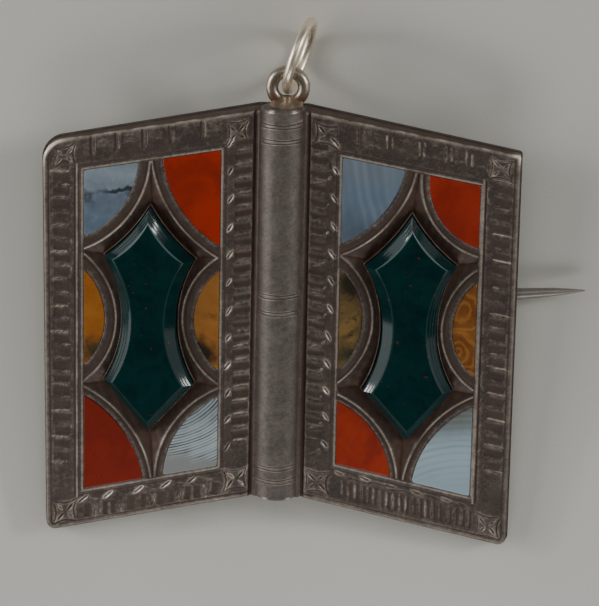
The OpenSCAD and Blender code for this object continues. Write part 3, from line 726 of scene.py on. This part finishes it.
# The spine
# A half-round moulding of silver on a flat strip joins the covers like the back of a book. Three
# pairs of double rings are cut round it, and its ends are rounded over. It is less stained.
SPINE_R, SPINE_SUNK, SPINE_END = 1.87, 0.76, 0.30
RINGS, RING_REACH = (16.1, 14.8, 1.4, -0.1, -13.9, -15.1), 0.30
RING_HALF, CUT_HALF, CUT_DEPTH = 0.145, 0.07, 0.05
STRIP_EDGE = ((0.0, SHEET_T), (0.0, SPINE_T - 0.17), (0.03, SPINE_T - 0.11), (0.09, SPINE_T - 0.09))
# two painted glints on the rounded top end: angle round the spine and strength
PAINTED_GLINTS = ((2 * math.pi - 0.52, 1), (0.63, 0.8))
spine_silver = silver("spine_silver", (0.086, 0.069, 0.056), (0.54, 0.48, 0.42),
                      cleanness=0.08, roughness=0.30, scuffs=0.5, patchy=0.45)


def merged(*parts):
    """Several sets of points and faces as one."""
    faces, start = [], 0
    for points, part_faces in parts:
        faces += [tuple(start + i for i in face) for face in part_faces]
        start += len(points)
    return np.concatenate([points for points, _ in parts]), faces


def rounded_rectangle(half_x, half_y, radius, steps):
    """A closed loop with its four corners rounded in steps, from the lower right one."""
    loop = []
    for x, y, start in ((1, -1, -90), (1, 1, 0), (-1, 1, 90), (-1, -1, 180)):
        for a in np.radians(np.linspace(start, start + 90, steps + 1)):
            loop.append([x * (half_x - radius) + radius * math.cos(a),
                         y * (half_y - radius) + radius * math.sin(a)])
    return np.array(loop)


def spine():
    low, high, axis_up = LIP - BOTTOM_H, TOP_H + 0.15, SPINE_T - SPINE_SUNK
    rounding = SPINE_END * (1 - np.cos(np.linspace(0, math.pi / 2, 7)))
    plain = np.arange(low + SPINE_END + 0.3, high - SPINE_END, 0.35)
    stations = [*(low + rounding), *plain, *(high - rounding)]
    for ring in RINGS:
        stations = [s for s in stations if abs(s - ring) > RING_REACH]
        stations += list(ring + np.linspace(-RING_REACH, RING_REACH, 25))
    angles = round_angles(128)
    loops, bright, hollow = [], [], []
    for y in sorted(stations):
        end = max(y - (high - SPINE_END), low + SPINE_END - y, 0)
        cut, lip = 0 * angles, 0 * angles
        for ring in RINGS:
            for way in (-1, 1):
                middle = ring + way * RING_HALF + 0.05 * np.sin(angles) + 0.02 * np.sin(3 * angles + ring + way)
                off = np.abs(y - middle)
                cut = np.maximum(cut, tent(off, CUT_HALF))
                lip = np.maximum(lip, tent(off - CUT_HALF - 0.02, 0.04))
        dent = 0.010 * np.sin(0.9 * y + 2 * angles) + 0.006 * np.sin(2.3 * y - 3 * angles) - 0.016
        taper = 0.055 * min(max(y - 15, 0) / 2, 1)
        r = SPINE_R - SPINE_END + math.sqrt(max(SPINE_END ** 2 - end ** 2, 0))
        r = r - cut * CUT_DEPTH + lip * 0.008 + dent * (end == 0) - taper
        loops.append(np.column_stack([r * np.sin(angles), 0 * r + y, axis_up + r * np.cos(angles)]))
        # the ring lips are lightened in broken patches, rubbed silver and painted highlight; the cuts are
        # darkened, and a band down each flank is painted shade
        rubbed = 0.5 + 0.5 * np.sin(5 * angles + 3 * y) * np.sin(2 * angles + 1.7 * y)
        painted_glints = sum(much * np.exp(-((angles - at) / 0.13) ** 2) for at, much in PAINTED_GLINTS)
        bright += list(np.maximum(lip * 0.85 * rubbed, 1.6 * painted_glints * (0.03 < end < 0.28)))
        hollow += list(cut * 0.5 + 0.25 * np.exp(-((np.cos(angles) - 0.42) / 0.16) ** 2))
    strip = rounded_rectangle(STRIP, (TOP_H - LIP - low) / 2, 0.12, 4) + [0, (TOP_H - LIP + low) / 2]
    flat = plate(strip, STRIP_EDGE)
    make_piece("spine", *merged(skin(loops), flat), spine_silver, crease=60,
               bright=bright + [0.0] * len(flat[0]), hollow=hollow + [0.15] * len(flat[0]))


spine()


# The loop on the spine
# A ring of round wire, closed and soldered to the rounded upper end of the spine with a fillet of
# solder round its foot. The jump ring has rubbed it bright, and it is golden-brown elsewhere.
LOOP_MID = np.array([0.33, 18.85, 0.95])
LOOP_R, LOOP_WIRE, WIRE_SIDES = 1.33, 0.52, 24
# the fillet from the spine upwards: place, half width, middle and half depth
FOOT = ((17.1, 1.42, 1.66, 1.56), (17.40, 1.42, 1.66, 1.56), (17.46, 1.40, 1.56, 1.40),
        (17.53, 1.36, 1.38, 1.16), (17.62, 1.33, 1.22, 0.92), (17.74, 1.31, 1.10, 0.72),
        (17.88, 1.29, 1.02, 0.58), (18.02, 1.25, 0.97, 0.44), (18.10, 1.20, 0.95, 0.30),
        (18.15, 1.1, 0.95, 0.15))
wire_silver = silver("wire_silver", (0.20, 0.155, 0.105), (0.68, 0.60, 0.48),
                     cleanness=0.34, roughness=0.14, scuffs=0.0, metal=0.55, patchy=0.5)


def wire_ring(ring_radius, wire_radius, around):
    """A ring of wire about Z: points and faces."""
    across = round_angles(WIRE_SIDES)
    out, up = ring_radius + wire_radius * np.cos(across), -wire_radius * np.sin(across)
    loops = [np.column_stack([out * math.cos(a), out * math.sin(a), up]) for a in round_angles(around)]
    points, faces = skin(loops, False)
    last = (around - 1) * WIRE_SIDES
    for i in range(WIRE_SIDES):
        j = (i + 1) % WIRE_SIDES
        faces.append((last + i, last + j, j, i))
    return points, faces


loop_points, loop_faces = wire_ring(LOOP_R, LOOP_WIRE, 96)
foot_angles = round_angles(48)
foot_loops = [[LOOP_MID[0] * (y - 16.7), y, middle]
              + np.column_stack([wide * np.cos(foot_angles), 0 * foot_angles, -deep * np.sin(foot_angles)])
              for y, wide, middle, deep in FOOT]
# darker at the bottom of the loop and over the fillet
dull = np.clip(1 - np.abs(loop_points[:, 1] + 1.2) / 0.9, 0, 0.7)
loop_darkening = np.concatenate([dull, np.repeat([0.3, 0.3, 0.25] + [0.15] * 7, 48)])
make_piece("spine_loop", *merged((loop_points + LOOP_MID, loop_faces), skin(foot_loops)), wire_silver,
           crease=60, hollow=loop_darkening)


# The hinge's ears and the catch
# Two silver ears on the back hold the pin's rivet, and a strip bent to a hook catches the stem.
# Both are cut from thicker sheet, filed round and soldered to the back.
PIN_TURN, LATCH_TURN = math.radians(5), math.radians(1.8)
EAR_T, EYE_T, EYE_GAP, HOLE_R = 0.7, 1.1, 0.12, 0.32
CATCH_REACH, CATCH_R, CATCH_T, CATCH_W, CATCH_LIP = 30.8, 1.1227, 0.45, 2.4, 0.35
UPWARDS = np.array([0, 0, 1.0])


def level_ways(turn):
    """Ahead and to the left, for something that is turned flat on the bench."""
    return np.array([[math.cos(turn), math.sin(turn), 0], [-math.sin(turn), math.cos(turn), 0]])


stem_way, rivet_way = level_ways(PIN_TURN)


def across_rivet(outlines):
    """Loops square to the rivet: each outline along the stem and upwards, and its place on the rivet."""
    return [RIVET + flat @ [stem_way, UPWARDS] + aside * rivet_way for flat, aside in outlines]


def unit_circle(count):
    return np.column_stack([np.cos(round_angles(count)), np.sin(round_angles(count))])


def ear(middle):
    """A rounded ear with a foot, drilled for the rivet."""
    unit = unit_circle(64)
    squared = unit / np.abs(unit).max(1)[:, None] * [EAR_R, PIN_DEPTH + 0.01]
    outside = np.where(unit[:, 1:] > 0, squared, unit * EAR_R)
    hole, half = unit * HOLE_R, EAR_T / 2
    return skin(across_rivet([(flat, middle + aside) for flat, aside in (
        (hole, -half), (outside * 0.92, -half), (outside, 0.07 - half), (outside, half - 0.07),
        (outside * 0.92, half), (hole, half), (hole, -half))]), False)


def catch():
    """A strip bent to a hook, open on the side where the free stem lies."""
    along, side_way = level_ways(PIN_TURN + LATCH_TURN)
    middle = RIVET + CATCH_REACH * along
    bend = CATCH_R - CATCH_T / 2
    curve = [(bend * math.sin(a), -bend * math.cos(a)) for a in np.linspace(0, math.pi / 2, 16)]
    line = np.array([(-CATCH_LIP, -bend), *curve, (bend, 0.5), (bend, PIN_DEPTH + 0.05)])
    way = np.gradient(line, axis=0)
    way /= np.linalg.norm(way, axis=1, keepdims=True)
    section = rounded_rectangle(CATCH_T / 2, CATCH_W / 2, 0.09, 3)
    loops = []
    for k, (spot, ahead) in enumerate(zip(line, way)):
        thick, broad = (0.8, 0.96) if k == 0 else (1.0, 1.0)
        flat = spot + np.outer(section[:, 0] * thick, [-ahead[1], ahead[0]])
        loops.append(middle + flat @ [side_way, UPWARDS] + np.outer(section[:, 1] * broad, along))
    points, faces = skin(loops)
    return points, flipped(faces)


ears = [ear(s * (EYE_T / 2 + EYE_GAP + EAR_T / 2)) for s in (-1, 1)]
make_piece("pin_fittings", *merged(*ears, catch()), tarnished, crease=40)


# The brooch pin
# A round rivet turns in the ears, and the stem's eye turns on it. The stem is hard-drawn wire,
# filed to a long point, and springs sideways into the catch.
PIN_LEN, POINT_LEN, PIN_R, RIVET_R = 41.46, 6.6, 0.525, 0.27
EYE_PROFILE = ((HOLE_R, -0.55), (0.63, -0.55), (0.68, -0.50), (0.70, -0.42), (0.70, 0.42), (0.68, 0.50),
               (0.63, 0.55), (HOLE_R, 0.55), (HOLE_R, -0.55))
pin_silver = silver("pin_silver", (0.13, 0.11, 0.095), (0.46, 0.42, 0.37),
                    cleanness=0.50, roughness=0.26, scuffs=1.2)


def stem():
    """The eye, and the wire from it to the point: distance from the rivet and radius at each station."""
    shoulder, mid = PIN_LEN - POINT_LEN, PIN_LEN - 0.4 * POINT_LEN
    stations = [(0.52, 0.44), (0.9, PIN_R)] + [(x, PIN_R) for x in np.linspace(3, shoulder - 0.6, 12)]
    stations += [(shoulder + d, r) for d, r in ((0.0, 0.518), (1.2, 0.47), (2.5, 0.425))]
    stations += [(mid + d, r) for d, r in ((0.0, 0.365), (0.9, 0.27), (1.7, 0.175), (2.35, 0.095), (2.6, 0.04))]
    wire = [RIVET + x * stem_way + r * unit_circle(32) @ [rivet_way, UPWARDS] for x, r in stations]
    eye = across_rivet([(size * unit_circle(64), aside) for size, aside in EYE_PROFILE])
    return merged(skin(eye, False), skin(wire))


rivet_half = EYE_T / 2 + EYE_GAP + EAR_T
rivet_profile = [(0.2, -rivet_half), (0.26, 0.05 - rivet_half), (RIVET_R, 0.1 - rivet_half)]
rivet_profile += [(r, -aside) for r, aside in rivet_profile[::-1]]
rivet_loops = across_rivet([(r * unit_circle(48) * [1, -1], aside) for r, aside in rivet_profile])
make_piece("hinge_rivet", *skin(rivet_loops), pin_silver, body="rivet", node="pin_rivet", crease=40)
make_piece("stem", *stem(), pin_silver, body="pin", node="pin_stem", crease=40)


# The flush stones
# Twelve slices of polished agate and jasper, cut to the openings of the covers, cemented in and
# ground level with the silver. Each has rounded corners and its own bands, clouds or mottling.
STONE_LEVELS = ((1.0, -0.6), (1.0, -0.03), (0.996, -0.004), (0.985, 0.014), (0.97, 0.018), (0.93, 0.018))


def flush_outline(side, which, count=170):
    """Loop of one flush stone: the part of the field inside its circle, with its corners rounded."""
    centre, radius, strip = stone_circles(side)[which]
    ring = centre + radius * unit_circle(2880)
    u, v = ring.T
    good = (u >= FIELD_IN) & (u <= FIELD_OUT) & (v >= field_bottom(side, u)) & (v <= field_top(side, u))
    start = np.nonzero(good & ~np.roll(good, 1))[0][0]
    loop = np.roll(ring, -start, 0)[:good.sum()]
    if which < 4:
        corner_u = FIELD_OUT if which in (0, 2) else FIELD_IN
        edge = field_top if which in (0, 1) else field_bottom
        loop = np.concatenate([loop, [[corner_u, float(edge(side, corner_u))]]])
    loop = np.concatenate([loop, loop[:1]])
    way_round = np.concatenate([[0], np.cumsum(np.linalg.norm(np.diff(loop, axis=0), axis=1))])
    even = np.linspace(0, way_round[-1], count + 1)[:-1]
    loop = inset(np.column_stack([np.interp(even, way_round, places) for places in loop.T]), 0.03)
    for _ in range(4):
        loop = (np.roll(loop, 1, 0) + 2 * loop + np.roll(loop, -1, 0)) / 4
    return loop


def flush_stone(node, which, slot, kind, *look, **more):
    """A slice in opening 0 to 5 of its cover; its material measures from the stone's middle."""
    side = LEFT if node.startswith("left") else RIGHT
    outline = flush_outline(side, which)
    points, faces = cover_skin(side, [(outline * size + outline.mean(0) * (1 - size), height)
                                      for size, height in STONE_LEVELS])
    paint = Paint(node + "_stone", middle_of(node), Specular_IOR_Level=0.5)
    make_piece(node + "_slice", points, faces, kind(paint, *look, **more), slot, node=node)


def red_jasper(paint, main, patch, seed, scratched=0.0):
    where = paint.stretched(turn=seed, shift=(seed * 7, 3, 0))
    clouds = paint.noise(0.30, 4.0, 0.55, where, 0.5).step(0.40, 0.66)
    mottle = paint.noise(1.7, 4.0, 0.65)
    specks = paint.noise(4.0, 2.0, 0.5, paint.stretched(shift=(seed * 3, 1, 2))).step(0.66, 0.74)
    colour = paint.blend(clouds * 0.8 + (mottle - 0.5) * 0.9, main, patch)
    colour = paint.blend(specks * 0.5, colour, np.multiply(patch, 0.45))
    scratches = paint.noise(1.0, 1.0, 0.4, paint.stretched(0.25, 14.0, 1.1)).step(0.62, 0.75)
    colour = paint.blend(scratches * scratched, colour, (0.30, 0.06, 0.02))
    return paint.finish(mottle, 0.004, Base_Color=colour, Roughness=mottle * 0.16 + 0.22)


def blotches(paint, colour, spots):
    """Soft patches of other colour: place, reach, softness and colour of each, in millimetres."""
    ragged = (paint.noise(0.9, 4.0, 0.6) - 0.5) * 2.6
    for place, reach, soft, tint in spots:
        off = paint.away(*place) + ragged
        colour = paint.blend(1.0 - off.step(reach - soft, reach + soft), colour, tint)
    return colour


def banded_agate(paint, top, mid, low, length, bands, curve, contrast, turn=0.0, hair=0.0, spots=(),
                 crack=0.0, middle=None, mottled=0.0):
    """Agate whose colour changes from one end to the other under fine bands, straight or round a middle."""
    sway = (paint.noise(0.20, 3.0, 0.5) - 0.5) * curve
    across = (paint.away(*middle) if middle else paint.along("Y", paint.stretched(turn=turn))) + sway
    up = paint.along("Y") + (paint.noise(0.35, 3.0, 0.5) - 0.5) * 3.0
    colour = paint.blend(up.step(-length / 2, 0.0), low, mid)
    colour = paint.blend(up.step(0.0, length / 2), colour, top)
    broad, swing = (0.15, 0.25) if middle else (0.30, 0.5)
    uneven = (across * (bands * 0.37) + 1.3).math("SINE") * swing + (1 - swing)
    wide = (across * bands).math("SINE")
    thin = (across * (bands * 3.1)).math("SINE") * uneven
    finest = (across * (bands * 8.3)).math("SINE") * (1.3 - uneven)
    cloud = paint.noise(0.8, 3.0, 0.5) - 0.5
    share = (wide * broad + thin * 0.55 + finest * hair + cloud * 0.8) * contrast
    if middle:
        share = share * up.step(-length * 0.46, -length * 0.26)
    if mottled:
        share = share + (paint.noise(1.8, 4.0, 0.65) - 0.5) * mottled
    colour = paint.blend(share.clipped(), colour, (0.36, 0.40, 0.41))
    colour = paint.blend((share * -1.0).clipped(), colour, (0.035, 0.045, 0.055))
    colour = blotches(paint, colour, spots)
    if crack:
        ragged = paint.along("Y") - paint.along("X") * 0.15 + (paint.noise(1.1, 5.0, 0.7) - 0.5) * 1.2
        split = ragged.near(0.72, 0.30) * (paint.along("X").near(0.9, 2.2) + 0.25)
        colour = paint.blend((split * crack).clipped(), colour, (0.028, 0.036, 0.048))
    return paint.finish(thin, 0.002, Base_Color=colour, Roughness=cloud * 0.1 + 0.24)


def moss_agate(paint, main, deep, moss, seed, amount, spots=(), swirls=0.0):
    """Clouded agate with dark threads of moss; the swirls are thin rings round two places."""
    where = paint.stretched(1, 0.7, seed, (seed * 2, 5, 0))
    cloud = paint.noise(0.40, 4.0, 0.55, where, 1.2)
    fine = paint.noise(2.4, 4.0, 0.65)
    fronds = paint.noise(0.85, 5.0, 0.7, paint.stretched(shift=(seed * 5, 2, 0)), 0.8)
    colour = paint.blend(cloud.step(0.36, 0.64), deep, main)
    colour = paint.blend(((fine - 0.5) * 1.2).clipped(), colour, deep)
    if swirls:
        nearest = paint.away(0, 1.7).math("MINIMUM", paint.away(-0.3, -1.9))
        rings = ((nearest + (paint.noise(0.5, 2.0, 0.5) - 0.5) * 2.0) * 9.0).math("SINE")
        colour = paint.blend((rings * swirls).clipped(), colour, np.multiply(main, 1.5))
        colour = paint.blend((rings * -swirls).clipped(), colour, deep)
    colour = paint.blend(fronds.step(0.62 - amount, 0.74 - amount) * 0.85, colour, moss)
    colour = blotches(paint, colour, spots)
    return paint.finish(fine, 0.004, Base_Color=colour, Roughness=fine * 0.12 + 0.22)


DEEP_RED = (0.185, 0.0115, 0.0025)
flush_stone("left_upper_inner_red_jasper", 1, "red_jasper", red_jasper,
            (0.305, 0.0175, 0.0020), DEEP_RED, seed=0.7)
flush_stone("left_lower_outer_red_jasper", 2, "red_jasper", red_jasper,
            (0.185, 0.0125, 0.003), (0.130, 0.0085, 0.003), seed=2.1)
flush_stone("right_upper_outer_red_jasper", 0, "red_jasper", red_jasper,
            (0.275, 0.0205, 0.0060), DEEP_RED, seed=4.4)
flush_stone("right_lower_inner_red_jasper", 3, "red_jasper", red_jasper,
            (0.290, 0.0230, 0.0035), DEEP_RED, seed=5.2, scratched=0.35)
flush_stone("left_upper_outer_blue_agate", 0, "blue_agate", banded_agate,
            (0.190, 0.230, 0.265), (0.116, 0.150, 0.195), (0.106, 0.145, 0.195),
            length=4.5, bands=1.1, curve=3.0, contrast=0.14, hair=0.3, crack=1.4, mottled=0.75,
            spots=(((-2.3, 0.2), 0.45, 0.6, (0.030, 0.038, 0.048)),
                   ((1.6, 0.5), 0.20, 0.5, (0.040, 0.046, 0.056))))
flush_stone("right_upper_inner_blue_agate", 1, "blue_agate", banded_agate,
            (0.143, 0.175, 0.208), (0.119, 0.163, 0.214), (0.080, 0.109, 0.142),
            length=6.0, bands=2.6, curve=1.0, contrast=0.16, turn=1.75, hair=0.1)
flush_stone("left_lower_inner_banded_agate", 3, "pale_banded_agate", banded_agate,
            (0.223, 0.262, 0.281), (0.345, 0.402, 0.417), (0.213, 0.225, 0.215),
            length=5.0, bands=8.2, curve=0.5, contrast=1.55, middle=(-3.1, 7.1))
flush_stone("right_lower_outer_banded_agate", 2, "pale_banded_agate", banded_agate,
            (0.150, 0.157, 0.148), (0.315, 0.412, 0.455), (0.275, 0.363, 0.415),
            length=8.0, bands=3.6, curve=0.6, contrast=0.26, middle=(1.9, -9.6))
flush_stone("left_outer_side_moss_agate", 4, "orange_agate", moss_agate,
            (0.340, 0.125, 0.018), (0.290, 0.092, 0.012), (0.12, 0.060, 0.016), seed=0.3, amount=-0.02,
            spots=(((0.5, -3.1), 1.3, 0.8, (0.050, 0.033, 0.012)),))
flush_stone("left_inner_side_moss_agate", 5, "orange_agate", moss_agate,
            (0.300, 0.125, 0.026), (0.245, 0.092, 0.017), (0.085, 0.036, 0.009), seed=1.3, amount=0.0,
            spots=(((-0.3, -3.0), 1.1, 0.8, (0.022, 0.015, 0.008)),
                   ((0.2, 0.6), 0.1, 0.7, (0.085, 0.034, 0.008))))
flush_stone("right_outer_side_orange_agate", 4, "orange_agate", moss_agate,
            (0.260, 0.105, 0.020), (0.150, 0.048, 0.010), (0.055, 0.020, 0.006),
            seed=3.1, amount=-0.02, swirls=0.5)
flush_stone("right_inner_side_moss_agate", 5, "olive_moss_agate", moss_agate,
            (0.190, 0.115, 0.036), (0.095, 0.062, 0.024), (0.022, 0.020, 0.011), seed=2.3, amount=0.05,
            spots=(((-0.2, 3.0), 1.1, 0.9, (0.024, 0.018, 0.010)),
                   ((0.0, -3.2), 0.8, 0.9, (0.026, 0.024, 0.015))))


# The green stones
# Two six-pointed bloodstones, nearly black green with tiny red specks. Each stands proud of its
# bezel: one wide bevel with three low ridges along it rises to a flat polished table.

# how far the outline is drawn in at each height, from the girdle to the table
GREEN_LEVELS = [(0.04, -0.4), (0.04, 0.64), (0.055, 0.72), (0.10, 0.780)]
for ridge in range(3):
    inwards, up = 0.24 * ridge, 0.196 * ridge
    GREEN_LEVELS += [(0.18 + inwards, 0.8546 + up), (0.34 + inwards, 0.976 + up)]
GREEN_LEVELS += [(0.88, 1.408), (0.95, 1.438), (1.04, 1.452), (1.2, 1.455)]
PALE_EDGE_LEVEL = 10.5  # the last steps before the table, rubbed pale and painted with a highlight


def bloodstone():
    paint = Paint("green_bloodstone", Specular_IOR_Level=0.22)
    depth = paint.noise(0.5, 4.0, 0.6, None, 0.5)
    fine = paint.noise(3.0, 3.0, 0.6)
    colour = paint.blend((depth * 1.6 + fine * 0.5 - 0.6).clipped(), (0.0008, 0.0115, 0.0115),
                         (0.0022, 0.0280, 0.0275))
    specks = paint.noise(2.6, 1.0, 0.4, paint.stretched(shift=(9, 4, 0))).step(0.735, 0.77)
    colour = paint.blend(specks * 0.7, colour, (0.13, 0.012, 0.007))
    # a pale painted highlight along the edge of the table, over slight wear
    edge_wear_and_highlight = paint.mark("bright")
    colour = paint.blend(edge_wear_and_highlight * 0.75, colour, (0.17, 0.24, 0.235))
    return paint.finish(fine, 0.001, Base_Color=colour, Roughness=(edge_wear_and_highlight * 0.3 + fine * 0.10 + 0.06).clipped())


green = bloodstone()
for node, side in (("left_green_stone", LEFT), ("right_green_stone", RIGHT)):
    loops = [(stone_outline(drawn_in), height) for drawn_in, height in GREEN_LEVELS]
    # the pale edge is strongest on the upper sides, where the light falls
    edge_wear_and_highlight = [np.clip((loop[:, 1] - STONE_UP - 4.5) / 1.5, 0.15, 1) * max(0, 1 - abs(level - PALE_EDGE_LEVEL) / 1.5)
            for level, (loop, _) in enumerate(loops)]
    make_piece(node + "_cut", *cover_skin(side, loops), green, "green_bloodstone", node=node, crease=5,
               bright=np.concatenate(edge_wear_and_highlight))


# The jump ring
# A ring of polished silver wire, threaded through the loop and closed, with the hairline joint
# where its ends meet. It stands on the table and leans against the loop.
JUMP_R, JUMP_WIRE, SEAM_AT = 2.999, 0.4, 0.9
LEAN, TIP = math.radians(16.8), math.radians(8)
bright_silver = silver("bright_silver", (0.48, 0.39, 0.26), (1.00, 0.90, 0.72),
                       cleanness=0.68, roughness=0.28, scuffs=0.0, metal=0.52, patchy=0.12)

ring_points, ring_faces = wire_ring(JUMP_R, JUMP_WIRE, 160)
ring_angle = np.arctan2(ring_points[:, 1], ring_points[:, 0])
seam = np.abs((ring_angle - SEAM_AT + math.pi) % (2 * math.pi) - math.pi) < 0.02
wire_middle = np.column_stack([np.cos(ring_angle), np.sin(ring_angle), 0 * ring_angle]) * JUMP_R
ring_points[seam] = wire_middle[seam] + (ring_points[seam] - wire_middle[seam]) * 0.90
upright = Matrix.Rotation(-LEAN, 3, "Z") @ Matrix.Rotation(math.pi / 2 - TIP, 3, "Y")
on_bench = (ring_points @ np.array(upright).T + middle_of("jump_ring") - rivet_on_table) @ lying + RIVET
make_piece("polished_jump_ring", on_bench, ring_faces, bright_silver, "polished_silver", node="jump_ring",
           hollow=seam * 0.5)


# The table, the light and the camera
# Plain pale grey paper. Softboxes stand low at the left and the right, each beside a small strip
# lamp for the stones' flashes, and weaker ones fill from the near side and from above, as in a
# museum's studio. The camera looks down from beyond the ring end.
paint = Paint("grey_paper", Roughness=0.9)
grain = paint.noise(6.0, 3.0, 0.7)
wash = (grain - 0.5) * 1.2 + paint.noise(0.02, 2.0, 0.5)
colour = paint.blend(wash.clipped(), (0.520, 0.503, 0.455), (0.605, 0.586, 0.530))
mesh = bpy.data.meshes.new("table")
mesh.from_pydata([(-1, -1, 0), (1, -1, 0), (1, 1, 0), (-1, 1, 0)], [], [(0, 1, 2, 3)])
mesh.materials.append(paint.finish(grain, 0.015, Base_Color=colour))
table = bpy.data.objects.new("table", mesh)
bpy.context.scene.collection.objects.link(table)

# name, place, aim, width and height in metres, and watts
for name, place, aim, width, height, power in (
        ("left_softbox", (-0.47, 0.04, 0.18), (0, 0, 0), 0.55, 0.34, 1.80),
        ("right_softbox", (0.45, 0.05, 0.24), (0, 0, 0), 0.45, 0.40, 0.72),
        ("left_strip", (-0.384, 0.100, 0.137), (0, 0, 0), 0.08, 0.03, 0.40),
        ("right_strip", (0.366, 0.118, 0.168), (0, 0, 0), 0.11, 0.035, 0.60),
        ("near_fill", (0, -0.15, 0.10), (0, -0.03, 0), 0.14, 0.05, 0.10),
        ("overhead_softbox", (0, 0.35, 0.50), (0, 0, 0), 0.40, 0.30, 0.38)):
    lamp = bpy.data.lights.new(name, "AREA")
    lamp.shape, lamp.size, lamp.size_y, lamp.energy = "RECTANGLE", width, height, power
    held = bpy.data.objects.new(name, lamp)
    held.location = place
    held.rotation_mode = "QUATERNION"
    held.rotation_quaternion = (Vector(aim) - Vector(place)).to_track_quat("-Z", "Y")
    bpy.context.scene.collection.objects.link(held)

world = bpy.data.worlds.new("studio")
world.use_nodes = True
world.node_tree.nodes["Background"].inputs["Color"].default_value = (0.95, 0.97, 1.0, 1)
world.node_tree.nodes["Background"].inputs["Strength"].default_value = 0.06
bpy.context.scene.world = world

# how far the camera swings to the right and up from straight above the covers, and its roll; what it
# looks at and from how far, in millimetres; its focal length in pixels of the photograph
SWUNG, RAISED, ROLLED = (math.radians(a) for a in (2.388, 17.611, 1.179))
LOOKED_AT, AWAY = [1.723, 0.674, SPINE_T], 284.8
FOCAL, PHOTO_WIDTH, SENSOR = 3389, 599, 36.0
aimed = Matrix.Rotation(SWUNG, 3, "Y") @ Matrix.Rotation(-RAISED, 3, "X") @ Matrix.Rotation(ROLLED, 3, "Z")
lens = bpy.data.cameras.new("camera")
lens.sensor_fit, lens.sensor_width, lens.lens = "HORIZONTAL", SENSOR, FOCAL * SENSOR / PHOTO_WIDTH
lens.clip_start, lens.clip_end = 0.01, 10
camera = bpy.data.objects.new("camera", lens)
bpy.context.scene.collection.objects.link(camera)
stand = Vector(laid(np.array(aimed.col[2]) * AWAY + LOOKED_AT))
camera.matrix_world = Matrix.Translation(stand) @ (Matrix.Rotation(LIE_TILT, 3, "X") @ aimed).to_4x4()
bpy.context.scene.camera = camera
